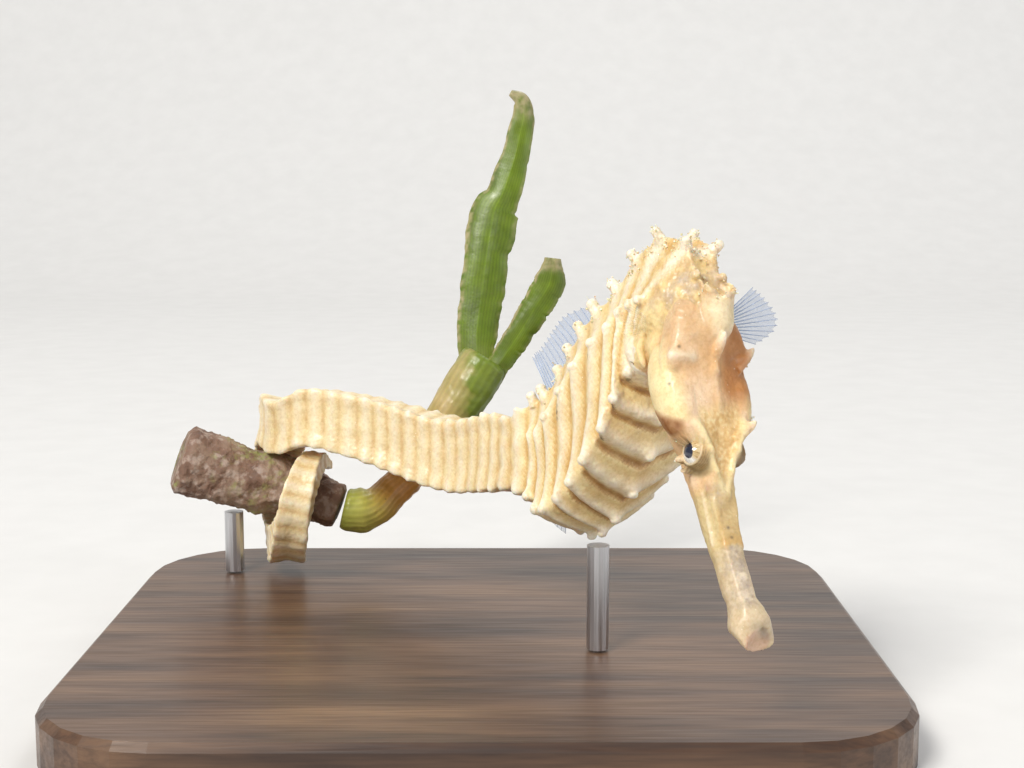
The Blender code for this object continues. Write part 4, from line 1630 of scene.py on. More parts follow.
    def build(self) -> Shell:
        """Lofts snout and head with their ridges and hollows, the mouth open in front.

        Returns:
            The closed shell.
        """
        along = np.concatenate([np.linspace(self.rear, 0.06, 270), [self.front]])
        places = self.section(along)
        normal = self._normals(places)
        flat = places.reshape(-1, 3)
        height = sum(f.at(flat) for f in self.features) + self._plate_heights(flat)
        lumps = Noise(3).layered(flat, 1.9, 3) * 0.07
        height = (height + lumps).reshape(places.shape[:2])
        height += (0.2 * bell(along + 2.0, 1.0) - 0.12 * bell(along + 3.9, 0.6))[:, None]
        height += 0.14 * self.snout_plate(places)
        places = places + normal * height[..., None]
        flare = bell(along - 0.2, 0.95)[:, None]
        t = np.linspace(0, 2 * math.pi, self.around, endpoint=False)[None]
        places[..., 0] += flare * (0.06 * np.cos(2 * t) + 0.95 * np.cos(t))
        rim = places[-1]
        middle = rim.mean(0)
        inner = [middle + (rim - middle) * k + np.array((d, 0, 0)) for k, d in self.mouth_rings]
        for ring in inner:
            from_slit = np.hypot(ring[:, 1] - middle[1] - 0.35, (ring[:, 2] + 0.9) * 0.45)
            ring[:, 0] -= 0.75 * bell(from_slit, 0.22)
        places = np.concatenate([places, np.array(inner)])
        points = HEAD_ORIGIN + places @ HEAD_AXES
        return Shell.grid(points)

    @staticmethod
    def snout_plate(places: Array) -> Array:
        """1 on the plate that runs from the forehead over the first half of the snout.

        Args:
            places: Head measures, in rows.

        Returns:
            A part from 0 to 1 for each place.
        """
        along, up, out = places[..., 0], places[..., 1], np.abs(places[..., 2])
        ragged = 0.25 * np.sin(out * 5)
        return (
            ease(-8.75, -9.15, along + ragged) * ease(-16.5, -14.5, along) * ease(1.35, 1.1, out)
            * ease(0.2, 0.6, up)
        )

    def _plate_heights(self, places: Array) -> Array:
        """Height of the plates, each a smooth dome with a rather steep edge.

        Args:
            places: Head measures, in rows.

        Returns:
            One height for each place.
        """
        p = np.column_stack([places[:, :2], np.abs(places[:, 2])])
        total = np.zeros(len(p))
        for middle, long, wide, height in self.plates:
            off_axis = (((p[:, 1:] - middle[1:]) / wide) ** 2).sum(1)
            d = np.sqrt(((p[:, 0] - middle[0]) / long) ** 2 + off_axis)
            total += height * (1 - ease(0.55, 1.1, d))
        return total

    @staticmethod
    def _normals(places: Array) -> Array:
        """Outward directions of a loft in head measures.

        Args:
            places: Head measures, in rows.

        Returns:
            One direction for each place.
        """
        along = np.gradient(places, axis=0)
        round_ = np.roll(places, -1, axis=1) - np.roll(places, 1, axis=1)
        normal = unit(np.cross(along, round_))
        out = places - places.mean(axis=1, keepdims=True)
        return normal * np.sign((normal * out).sum(-1, keepdims=True))

    def extras(self) -> list[Shell]:
        """Spines of the head, and the crown.

        Returns:
            Closed shells that pass into the head.
        """
        shells: list[Shell] = []
        for i, (place, way, length, radius, sides) in enumerate(self.spines):
            for sign in sides:
                mirror = np.array((1, 1, sign))
                shells.append(self._spine(i, mirror * place, mirror * way, length, radius))
        shells += [self._crown(), *(self._ball(*flesh) for flesh in self.neck)]
        size = self.eye_radius + self.lid
        for sign in (1.0, -1.0):
            shells.append(self._ball(*self.gill, self.gill_lean, sign))
            shells.append(self._ball(self.eye, (size, size, size), 0.0, sign))
            shells += self._fin_base(sign)
        return shells

    def _fin_base(self, sign: float) -> list[Shell]:
        """Crescent behind the gill cover where the side fin is rooted: a thin rim on a fleshy bed.

        Args:
            sign: 1 on the animal's right, -1 on its left.

        Returns:
            Closed shells.
        """
        path = smooth_curve(range(len(self.arc)), self.arc, np.linspace(0, len(self.arc) - 1, 30))
        round_off = np.sqrt(np.clip(1 - np.linspace(-1, 1, 30) ** 6, 0.05, 1))
        shells = []
        for shift, radius in self.arc_beds:
            rings = tube((path + shift) * (1, 1, sign), radius * round_off, 20, (0.1, 0.1, 0.9))
            shells.append(Shell.grid(HEAD_ORIGIN + rings @ HEAD_AXES))
        return [*shells, self._ball(*self.neck_side, 0.0, sign)]

    @staticmethod
    def _ball(middle: Point, half: Point, lean: float = 0.0, sign: float = 1.0) -> Shell:
        """Smooth rounded form in head measures, leaning outward at its top.

        Args:
            middle: Middle, in head measures.
            half: Half sizes.
            lean: Angle it leans outward by.
            sign: -1 to mirror it to the left.

        Returns:
            The form.
        """
        a = np.linspace(0.02, math.pi - 0.02, 90)[:, None]
        t = np.linspace(0, 2 * math.pi, 120, endpoint=False)[None]
        c, s = math.cos(lean), math.sin(lean)
        ball = np.stack([-np.cos(a) + 0 * t, np.sin(a) * np.sin(t), np.sin(a) * np.cos(t)], -1) * half
        places = (np.array(middle) + ball @ np.array(((1, 0, 0), (0, c, s), (0, -s, c)))) * (1, 1, sign)
        return Shell.grid(HEAD_ORIGIN + places @ HEAD_AXES)

    @staticmethod
    def _spine(seed: int, place: Array, way: Array, length: float, radius: float) -> Shell:
        """A blunt spine of the head, from head measures.

        Args:
            seed: Seed of its unevenness.
            place: Its foot, in head measures.
            way: Direction it points in.
            length: Length over the skin.
            radius: Radius at its foot.

        Returns:
            The spine.
        """
        rand = np.random.default_rng(seed + 90)
        t = np.linspace(0, 1, 12)
        way = unit(way)
        path = (
            place + way * (-0.9 + (0.9 + length) * t)[:, None]
            + np.array((-0.22, 0.05, 0)) * (t**2 * length)[:, None]
        )
        radii = radius * np.sqrt(np.clip(1 - (t * 0.985) ** 5, 0, 1)) * (1.35 - 0.5 * t)
        grid = HEAD_ORIGIN + tube(path, radii, 14, (0.9, 0.1, 0.15)) @ HEAD_AXES
        return Shell.grid(grid + rand.normal(0, 0.02, grid.shape))

    def _crown(self) -> Shell:
        """Column of the crown, its rim flared into five rough points with a cup inside.

        Returns:
            The crown.
        """
        axis = unit(math.cos(self.coronet_lean) * CROWNWARD - math.sin(self.coronet_lean) * ALONG)
        across = unit(np.cross(axis, SIDE))
        foot = head_point(*self.coronet)
        t = np.linspace(0, 2 * math.pi, 120, endpoint=False)
        keys = np.linspace(0, 1, len(self.crown_rows))
        table = smooth_curve(keys, self.crown_rows, np.linspace(0, 1, 70))
        high = ease(3.4, 4.8, table[:, 0])[:, None]
        points5 = np.cos(5 * t + 0.6)[None]
        radius = table[:, 1:2] * (1 + 0.1 * high * points5)
        rise = (
            table[:, :1] + high * (0.16 * points5 + 0.12 * np.sin(11 * t)[None])
            - 0.95 * ease(0.5, 4.4, table[:, :1]) * np.cos(t)[None]
        )
        grid = foot + axis * rise[..., None] + across * (radius * np.cos(t))[..., None]
        grid = grid + SIDE * (radius * np.sin(t))[..., None]
        rough = Noise(12).layered(grid.reshape(-1, 3), 0.8, 3).reshape(rise.shape) * (0.05 + 0.3 * high)
        grid = grid + unit(grid - (foot + axis * 2.0)) * rough[..., None]
        return Shell.grid(grid)


# ---------------------------------------------------------------- the skin


@dataclass(frozen=True)
class Palette:
    """Tints of the animal."""

    cream: Colour = (0.88, 0.71, 0.36)
    white: Colour = (0.93, 0.87, 0.74)
    tan: Colour = (0.66, 0.40, 0.13)
    # Painted shade only: used in hollows, recesses and a pit, and on the far side of head and snout
    shade_brown: Colour = (0.36, 0.16, 0.045)
    # Own colour under the gill covers, partly painted shade there
    russet_and_shade: Colour = (0.28, 0.11, 0.03)
    # Own colour of the tail's underside and the head's left side, partly painted shade there
    amber_and_shade: Colour = (0.50, 0.20, 0.045)
    peach: Colour = (0.78, 0.49, 0.24)
    pink: Colour = (0.92, 0.70, 0.48)
    bone: Colour = (0.92, 0.80, 0.62)
    grey: Colour = (0.56, 0.46, 0.34)
    violet: Colour = (0.36, 0.27, 0.24)
    lilac: Colour = (0.70, 0.49, 0.29)
    column: Colour = (0.84, 0.71, 0.47)
    sand: Colour = (0.80, 0.55, 0.24)
    dark: Colour = (0.05, 0.03, 0.02)
    straw: Colour = (0.90, 0.76, 0.43)
    gold: Colour = (0.52, 0.33, 0.12)
    olive: Colour = (0.36, 0.26, 0.11)
    # Painted shade in the folds round the eye and on the far eye's turret
    shade_umber: Colour = (0.20, 0.11, 0.04)
    plate: Colour = (0.66, 0.48, 0.22)
    side: Colour = (0.70, 0.56, 0.29)
    tip: Colour = (0.68, 0.55, 0.37)
    nostril: Colour = (0.60, 0.38, 0.26)
    lip: Colour = (0.66, 0.44, 0.32)
    # Painted shade in the mouth's slit
    gape_shade: Colour = (0.24, 0.19, 0.15)


@dataclass
class Skin:
    """One skin over head, trunk and tail."""

    body: Body
    head: Head
    palette: Palette = Palette()
    voxel: float = 0.135
    nodes: tuple[str, ...] = (
        "head", "snout", "coronet", "nape", "trunk_front", "trunk_rear", "tail_base", "tail_middle",
        "tail_bend", "tail_over", "tail_behind", "tail_under", "tail_tip",
    )

    def build(self) -> Piece:
        """Joins the parts into one skin, refines it and tints it.

        Returns:
            The skin.
        """
        body, ring, s = self.body.build()
        head = self.head.build()
        raw = Shell.joined([body, head, *self.body.knobs(), *self.head.extras()])
        points, quads = self._merge(raw)
        LOG.info("skin merged: %d points, %d faces", len(points), len(quads))
        edges = self._edges(quads)
        points = self._relax(points, edges, 3, 0.5)
        points = self._open_eyes(points)
        points = self._relax(points, edges, 2, 0.35, self._near_eyes(points) < 0.2)
        part, ring, s = self._locate(points, body, ring, s)
        normals = self._normals(points, quads)
        hollow = self._hollow(points, normals, edges)
        points = points + normals * self._fine(points, part, ring)[:, None]
        mesh = Shell(points, [quads]).mesh("skin")
        set_colours(mesh, "tint", self._tints(points, part, ring, s, hollow))
        obj = add_piece("skin", mesh, SkinFinish().make())
        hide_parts(*self.nodes)
        return obj

    def _merge(self, raw: Shell) -> tuple[Array, Array]:
        """Fuses overlapping closed shells into one even mesh.

        Args:
            raw: All parts as one shell.

        Returns:
            The mesh's points and faces.
        """
        mesh = raw.mesh("raw", world=False)
        obj = bpy.data.objects.new("raw", mesh)
        bpy.context.scene.collection.objects.link(obj)
        mod = obj.modifiers.new("fuse", "REMESH")
        mod.mode, mod.voxel_size, mod.adaptivity = "VOXEL", self.voxel, 0.0
        fused = obj.evaluated_get(bpy.context.evaluated_depsgraph_get()).to_mesh()
        points = np.empty(len(fused.vertices) * 3, np.float32)
        fused.vertices.foreach_get("co", points)
        corners = np.empty(len(fused.loops), np.int32)
        fused.loops.foreach_get("vertex_index", corners)
        bpy.data.objects.remove(obj, do_unlink=True)
        bpy.data.meshes.remove(mesh)
        return points.reshape(-1, 3).astype(float), corners.reshape(-1, 4)

    @staticmethod
    def _edges(quads: Array) -> Array:
        """Each edge once."""
        ends = np.concatenate([quads[:, [0, 1]], quads[:, [1, 2]], quads[:, [2, 3]], quads[:, [3, 0]]])
        return np.unique(np.sort(ends, axis=1), axis=0)

    @staticmethod
    def _spread(values: Array, edges: Array) -> Array:
        """Mean of each point's neighbours.

        Args:
            values: One value or row for each point.
            edges: Pairs of neighbouring points.

        Returns:
            One mean for each point.
        """
        n = len(values)
        a, b = edges[:, 0], edges[:, 1]
        count = np.bincount(a, minlength=n) + np.bincount(b, minlength=n)
        flat = values.reshape(n, -1)
        sums = [np.bincount(a, row[b], n) + np.bincount(b, row[a], n) for row in flat.T]
        return (np.stack(sums, 1) / np.maximum(count, 1)[:, None]).reshape(values.shape)

    def _relax(
        self, points: Array, edges: Array, rounds: int, strength: float, where: Array | None = None
    ) -> Array:
        """Smooths the mesh a little, by default all over.

        Args:
            points: Points in the view frame.
            edges: Pairs of neighbouring points.
            rounds: Times to repeat it.
            strength: Part of the way to the mean of the neighbours.
            where: Part of it that each point takes, or None.

        Returns:
            The moved points.
        """
        weight = strength if where is None else strength * where[:, None]
        for _ in range(rounds):
            points = points + weight * (self._spread(points, edges) - points)
        return points

    @staticmethod
    def _normals(points: Array, quads: Array) -> Array:
        """Outward direction at each point.

        Args:
            points: Points in the view frame.
            quads: Faces as four point numbers.

        Returns:
            One direction for each point.
        """
        p = points[quads]
        face = np.cross(p[:, 2] - p[:, 0], p[:, 3] - p[:, 1])
        out = np.zeros_like(points)
        for corner in range(4):
            for k in range(3):
                out[:, k] += np.bincount(quads[:, corner], face[:, k], len(points))
        return unit(out)

    def _hollow(self, points: Array, normals: Array, edges: Array) -> Array:
        """How sunk each point is among its surroundings, from -1 on crests to 1 in hollows.

        Args:
            points: Skin points.
            normals: Outward directions.
            edges: Pairs of neighbouring points.

        Returns:
            One value for each point.
        """
        wide = points
        for _ in range(22):
            wide = self._spread(wide, edges)
        return np.clip(((wide - points) * normals).sum(1) / 0.22, -1, 1)

    def _near_eyes(self, points: Array) -> Array:
        """1 close to an eye, falling to 0."""
        gaps = [apart(points, self.head.eye_middle(sign)) for sign in (1, -1)]
        return sum(bell(np.maximum(0, gap - 1.9), 0.5) for gap in gaps)

    def _open_eyes(self, points: Array) -> Array:
        """Wraps the skin round each eyeball and opens the lids along the gaze.

        Args:
            points: Points in the view frame.

        Returns:
            The moved points.
        """
        points = points.copy()
        radius = self.head.eye_radius
        for sign in (1.0, -1.0):
            middle, gaze = self.head.eye_middle(sign), Eye.gaze(sign)
            way = points - middle
            r = np.linalg.norm(way, axis=1)
            cos = (way @ gaze) / np.maximum(r, 1e-9)
            angle = np.degrees(np.arccos(np.clip(cos, -1, 1)))
            outside = (way @ (SIDE * sign)) > -0.6
            near = (r < 3.2) & outside
            fold = (angle - self.head.lid_edge) / self.head.fold_step
            wrinkle = 0.045 * np.cos(fold * 2 * math.pi) * (1 - ease(74, 92, angle))
            lid = radius + self.head.lid + 0.05 * bell(angle - self.head.lid_edge, 6) + wrinkle
            pushed = np.maximum(r, lid)
            sunk = radius - 0.45
            blend = ease(44, 53, angle)
            fade = 1 - ease(78, 110, angle)
            target = sunk * (1 - blend) + pushed * blend
            new = r + (target - r) * fade
            points[near] = middle + way[near] / np.maximum(r[near], 1e-9)[:, None] * new[near][:, None]
        return points

    def _locate(self, points: Array, body: Shell, ring: Array, s: Array) -> tuple[Array, Array, Array]:
        """Body coordinates of each skin point.

        Args:
            points: Skin points.
            body: The body's shell, its grid points first.
            ring: Ring number of each grid point.
            s: Place round of each grid point.

        Returns:
            How much each point belongs to the head (0 to 1), its ring number and its place round.
        """
        every = 3
        source = body.points[: len(ring)][::every]
        tree = KDTree(len(source))
        for i, p in enumerate(source):
            tree.insert(p, i)
        tree.balance()
        found = np.array([tree.find(p)[1:] for p in points])
        index, gap = found[:, 0].astype(int), found[:, 1]
        m = head_measures(points)
        inside = (m[:, 0] > -33.5) & (m[:, 1] > -6)
        rows = np.array(self.head.sections)[::-1]
        read = smooth_curve(rows[:, 0], rows[:, 1:], np.clip(m[:, 0], self.head.rear, self.head.front))
        wide, top, bottom = read[:, 0], np.maximum(read[:, 3], read[:, 5]), read[:, 6]
        fit = np.hypot(
            m[:, 2] / (wide * 1.12 + 0.4), (m[:, 1] - (top + bottom) / 2) / ((top - bottom) / 2 + 0.5)
        )
        part = np.where(inside & (fit < 1.35), ease(0.12, 0.5, gap), 0.0)
        part = np.where(inside & (m[:, 0] > -28.0) & (fit < 1.5), 1.0, part)
        ring_out, s_out = ring[::every][index], s[::every][index]
        part = np.where((ring_out > 3.2) & ((gap < 0.45) | (m[:, 0] < -28.0)), 0.0, part)
        return part, ring_out, s_out

    def _fine(self, points: Array, part: Array, ring: Array) -> Array:
        """Fine unevenness of the skin, rougher on the nape.

        Args:
            points: Points in the view frame.
            part: How much each point belongs to the head.
            ring: Ring number of each point.

        Returns:
            Height for each point.
        """
        nape = (1 - part) * (1 - ease(3.5, 6.0, ring))
        fine = Noise(21).layered(points, 0.5, 2) * 0.03
        return fine * (1 + 1.6 * nape) + 0.05 * nape * np.maximum(0, Noise(22).at(points, 0.35))

    def _tints(self, points: Array, part: Array, ring: Array, s: Array, hollow: Array) -> Array:
        """Colour of each skin point.

        Args:
            points: Points in the view frame.
            part: How much each point belongs to the head.
            ring: Ring number of each point.
            s: Place round the half section of each point.
            hollow: How sunk each point is.

        Returns:
            One colour for each point.
        """
        body = self._body_tint(points, ring, s, hollow)
        head = self._head_tint(points, hollow)
        part = part[:, None]
        return body * (1 - part) + head * part

    def _body_tint(self, points: Array, ring: Array, s: Array, hollow: Array) -> Array:
        """Cream plates, pale ridges and knobs, tan hollows darkened further with painted shade, a tail
        underside partly painted shade, and a few dark pores.

        Args:
            points: Points in the view frame.
            ring: Ring number of each point.
            s: Place round the half section of each point.
            hollow: How sunk each point is.

        Returns:
            One colour for each point.
        """
        c = self.palette
        relief = self.body.relief(ring, s)
        slow = Noise(31).layered(points, 5.0, 3)
        mid = Noise(32).layered(points, 1.3, 3)
        tail = ease(11, 14, ring)
        rgb = np.tile(np.array(c.cream), (len(points), 1))
        rgb = lay(rgb, c.tan, (0.16 + 0.45 * slow) * (1 - 0.5 * tail))
        rgb = lay(rgb, c.tan, 0.85 * relief.hollow + 0.35 * mid * (relief.hollow > 0.1))
        belly = (1 - ease(1.7, 2.6, s)) * (1 - tail)
        # Painted shade in the recess behind each belly plate
        rgb = lay(rgb, c.shade_brown, belly * relief.hollow**2 * (0.6 + 0.5 * mid))
        # Painted shade: the skin darkens by how sunk it is, first tan, then deeper
        rgb = lay(rgb, c.tan, np.maximum(0, hollow) * 0.6)
        rgb = lay(rgb, c.shade_brown, np.maximum(0, hollow - 0.35) * 0.9)
        rgb = lay(rgb, c.white, 0.14 * tail)
        rgb = lay(rgb, c.white, relief.crest * 0.6 * (1 - 0.3 * tail) + 0.3 * np.maximum(0, -hollow))
        rgb = lay(rgb, c.white, relief.knob * 0.85)
        # Underside of the tail: its own orange colour, partly painted shade
        under = (1 - ease(0.4, 1.6, s)) * tail
        rgb = lay(rgb, c.amber_and_shade, under * 0.45 * (1 + mid))
        nape = 1 - ease(2.2, 4.2, ring)
        rgb = lay(rgb, c.tan, nape * (0.45 + 0.9 * mid) * ease(3.5, 5.0, s) * (1 - relief.crest))
        rgb = lay(rgb, c.grey, (1 - ease(0.8, 2.2, ring)) * (0.45 + 0.8 * mid) * ease(3.0, 5.0, s))
        rgb = lay(rgb, c.white, relief.crest * ease(4.6, 5.6, s) * (1 - ease(4.5, 6.0, ring)) * 0.6)
        rgb = lay(rgb, c.dark, self._pores(ring, s) * (1 - 0.5 * tail))
        return rgb

    def _pores(self, ring: Array, s: Array) -> Array:
        """Dark pores beside the knobs of some trunk rings.

        Args:
            ring: Ring number of each point.
            s: Place round the half section of each point.

        Returns:
            A part from 0 to 1 for each point.
        """
        out = np.zeros(len(ring))
        rand = np.random.default_rng(5)
        for k in range(2, 12):
            for row in (2.0, 4.0):
                if rand.random() < 0.28:
                    continue
                at, place = k + 0.24 + rand.uniform(-0.04, 0.05), row - 0.25 + rand.uniform(-0.15, 0.25)
                u = ring - self.body.ring_lag(s, ring)
                out = np.maximum(out, bell(np.hypot((u - at) / 0.07, (s - place) / 0.16), 1.0))
        return out * 0.92

    def _head_tint(self, points: Array, hollow: Array) -> Array:
        """Tan and pink face, straw gill covers, sides of deep orange that is partly painted shade,
        freckled forehead, and painted shade in hollows, in a pit and under the gill covers.

        Args:
            points: Points in the view frame.
            hollow: How sunk each point is.

        Returns:
            One colour for each point.
        """
        c = self.palette
        m = head_measures(points)
        along, up, out = m[:, 0], m[:, 1], m[:, 2]
        wide = np.abs(out)
        mid = Noise(41).layered(points, 1.2, 3)
        small = Noise(42).layered(points, 0.42, 2)
        rgb = np.tile(np.array(c.peach), (len(points), 1))
        rgb = lay(rgb, c.pink, 0.25 + 0.8 * Noise(43).layered(points, 2.6, 2))
        pale = bell(apart(m, (-22.9, 5.0, 2.7), (0.8, 0.6, 1.0)), 2.0)
        rgb = lay(rgb, c.pink, pale * 0.9)
        cover = ease(6.2, 4.4, up) * ease(3.0, 4.4, wide) * ease(-31.0, -29.5, along)
        border = along - (-23.3 + 0.8 * (up - 1.9))
        rgb = lay(rgb, c.straw, cover * (1 - ease(-0.2, 0.8, border)))
        # Under and behind the gill cover: own colour, partly painted shade
        under = (
            ease(3.8, 4.5, wide) * ease(5.6, 4.2, up) * ease(-0.1, 1.1, border)
            * (1 - ease(-20.3, -18.8, along))
        )
        rgb = lay(rgb, c.russet_and_shade, under * (0.9 + 0.3 * mid))
        rgb = lay(rgb, c.lilac, ease(-27.0, -29.0, along) * ease(4.0, 5.5, up) * (0.65 + 0.4 * mid))
        # The animal's left side of the head: own colour partly painted shade, darkest as painted shade
        # at its far edge
        left = (
            ease(-0.1, 1.7, -out) * ease(-21.5, -24.0, along) * (1 - ease(8.4, 9.4, up))
            * (1 - ease(-29.5, -31.0, along))
        )
        rgb = lay(rgb, c.amber_and_shade, left * 0.93)
        rgb = lay(rgb, c.shade_brown, ease(4.0, 5.0, -out) * ease(-20.0, -22.0, along) * 0.8)
        rgb = lay(rgb, c.cream, ease(-28.6, -29.8, along) * ease(3.6, 2.2, up) * (0.85 + 0.3 * mid))
        # Painted shade in the pit under the cheek ridge
        pit = bell(apart(m, (-25.7, 5.7, 4.3)), 0.55)
        rgb = lay(rgb, c.shade_brown, pit * 0.6)
        column = bell(np.maximum(0, apart(m, (-31.2, 8.9, -0.4), (0.55, 0.9, 1)) - 1.4), 0.5)
        rgb = lay(rgb, c.column, column)
        rgb = lay(
            rgb, c.tan,
            ease(-31.9, -32.8, along - 0.3 * (up - 9)) * ease(7.5, 8.5, up) * (0.4 + 0.7 * mid)
        )
        ridge = 2.9 - 0.45 * np.maximum(0, along + 20.3)
        brow = (
            ease(-23.0, -21.0, along) * (1 - ease(-15.2, -13.4, along))
            * (1 - ease(-0.7, 0.0, wide - ridge)) * ease(2.0, 3.0, up)
        )
        rgb = lay(rgb, c.sand, brow * 0.9)
        rgb = lay(rgb, c.tan, brow * np.clip(small * 1.1 + 0.1 * mid, 0, 0.55))
        rgb = lay(rgb, c.straw, brow * np.clip(-small * 1.1, 0, 0.5))
        edge = (
            bell(wide - ridge + 0.1, 0.42) * ease(-21.6, -20.4, along) * (1 - ease(-14.6, -13.4, along))
            * ease(1.6, 2.3, up)
        )
        knobs = np.zeros(len(m))
        for place, way, length, _, sides in self.head.spines:
            for k in sides:
                tip = (np.array(place) + unit(np.array(way)) * length * 0.85) * (1, 1, k)
                knobs = np.maximum(knobs, bell(apart(m, tip), 0.75) * (0.5 + 0.5 * (length > 0.6)))
        bar = Feature((-26.7, 6.7, 2.7), (-27.2, 6.1, 4.9), 0.5, 1.0, False).at(m)
        rgb = lay(rgb, c.bone, np.maximum(knobs, bar) * 0.75)
        rgb = self._snout_tint(rgb, m, mid, small)
        eye = self._eye_side(points)
        # Painted shade in the hollows of the head
        rgb = lay(rgb, c.shade_brown, np.maximum(0, hollow - 0.15) * 0.6)
        plain = (1 - under) * (1 - ease(-22.5, -21.5, along) * ease(2.5, 3.2, wide))
        plain *= (1 - ease(-17.0, -15.0, along)) * (1 - bell(eye[0] - 1.7, 0.7))
        rgb = lay(rgb, c.white, np.maximum(0, -hollow - 0.15) * 0.25 * plain)
        rgb = self._turret_tint(rgb, m, *eye, ease(-0.1, 0.4, wide - ridge) * ease(5.2, 4.4, up))
        rgb = lay(rgb, c.straw, edge * 0.85)
        pores = np.min([apart(m, p) for p in self.head.pores], axis=0)
        return lay(rgb, c.dark, 0.8 * bell(pores, 0.17))

    def _snout_tint(self, rgb: Array, m: Array, mid: Array, small: Array) -> Array:
        """Yellow plate, cream sides, a mottled grey streak and a pinkish mouth, with painted shade on
        the far side and in the mouth's slit.

        Args:
            rgb: Tints so far.
            m: Head measures of each point.
            mid: Noise of middling size.
            small: Fine noise.

        Returns:
            The tints with the snout laid on.
        """
        c = self.palette
        along, up, out = m[:, 0], m[:, 1], m[:, 2]
        snout = ease(-16.0, -14.0, along)
        rgb = lay(rgb, c.side, snout)
        rgb = lay(rgb, c.tip, ease(-10.0, -5.0, along) * 0.8)
        plate = self.head.snout_plate(m)
        rgb = lay(rgb, c.plate, plate * (0.9 + 0.4 * mid))
        rgb = lay(rgb, c.tan, plate * ease(-10.2, -9.2, along) * 0.6)
        top = bell((out - 0.2) / 1.5, 0.85) * ease(-1.0, 0.2, up)
        streak = snout * top * ease(-9.3, -8.7, along) * (1 - ease(-3.4, -2.2, along))
        rgb = lay(rgb, c.grey, streak * (0.9 + 0.5 * mid))
        rgb = lay(rgb, c.violet, streak * np.clip(small * 1.5, 0, 0.5))
        rgb = lay(rgb, c.bone, streak * np.clip(-mid * 1.6, 0, 0.5))
        patch = bell(apart(m, (-14.4, 2.0, 0.9), (0.6, 1, 1)), 0.8)
        rgb = lay(rgb, c.grey, patch * (0.6 + 0.6 * small))
        mound = bell(apart(np.column_stack([m[:, :2], np.abs(out)]), (-14.85, 1.9, 1.75)), 0.45)
        rgb = lay(rgb, c.nostril, mound * 0.8)
        line = Feature((-14.7, 1.0, 1.8), (-9.7, 0.1, 1.65), 0.2, 1.0).at(m)
        rgb = lay(rgb, c.bone, line * 0.7)
        # Painted shade on the snout's far (left) side
        rgb = lay(rgb, c.shade_brown, snout * ease(1.5, 2.2, -out) * 0.45 * (1 - ease(-3.0, -1.5, along)))
        rgb = lay(rgb, c.tip, ease(-3.4, -1.6, along) * 0.9)
        turn = along - self.head.front - (0.45 - up)
        face = ease(-0.3, 0.05, turn) * ease(1.0, 0.8, np.hypot((up - 0.4) / 0.85, out / 1.7))
        rgb = lay(rgb, c.lip, face * 0.85)
        # Painted shade in the mouth's slit
        gape_shade = bell(np.hypot(up - 0.75, (out + 1.0) * 0.4), 0.34) * ease(-0.9, -0.3, turn)
        return lay(rgb, c.gape_shade, gape_shade * 0.8)

    def _turret_tint(self, rgb: Array, m: Array, gap: Array, angle: Array, where: Array) -> Array:
        """Gold and olive rings round the eye, with painted shade in the grooves of its folds, on the
        far eye's turret and where the lid tucks in against the eyeball.

        Args:
            rgb: Tints so far.
            m: Head measures of each point.
            gap: Distance to the nearer eye's middle.
            angle: Degrees off that eye's gaze.
            where: 1 outside the forehead.

        Returns:
            The tints with the eye's surroundings laid on.
        """
        c = self.palette
        near = (1 - ease(2.0, 2.6, gap)) * where
        low = ease(-18.6, -17.2, m[:, 0])
        rgb = lay(rgb, c.gold, near * (1 - low) * 0.85)
        rgb = lay(rgb, c.olive, near * low * 0.9)
        # Painted shade in the grooves of the folds round the eye
        fold = (angle - self.head.lid_edge) / self.head.fold_step
        lines = (
            np.clip(-np.cos(fold * 2 * math.pi), 0, 1) * ease(54, 58, angle)
            * (1 - ease(88, 104, angle))
        )
        rgb = lay(rgb, c.shade_umber, near * lines * 0.8)
        rgb = lay(rgb, c.bone, near * bell(angle - 52, 4) * 0.5)
        # Painted shade on the far eye's turret
        rgb = lay(rgb, c.shade_umber, near * ease(0.3, 1.0, -m[:, 2]) * 0.7)
        # Painted shade where the lid tucks in against the eyeball
        return lay(rgb, c.dark, near * (1 - ease(44, 48, angle)) * 0.8)

    def _eye_side(self, points: Array) -> tuple[Array, Array]:
        """Distance to the nearer eye's middle, and degrees off that eye's gaze.

        Args:
            points: Points in the view frame.

        Returns:
            The distances, and the angles.
        """
        ways = [(points - self.head.eye_middle(k), Eye.gaze(k)) for k in (1.0, -1.0)]
        gaps = [np.linalg.norm(way, axis=1) for way, _ in ways]
        cosines = [(w @ gaze) / np.maximum(gap, 1e-9) for (w, gaze), gap in zip(ways, gaps)]
        angles = np.degrees(np.arccos(np.clip(cosines, -1, 1)))
        first = gaps[0] < gaps[1]
        return np.where(first, *gaps), np.where(first, *angles)


# ---------------------------------------------------------------- eyes and fins


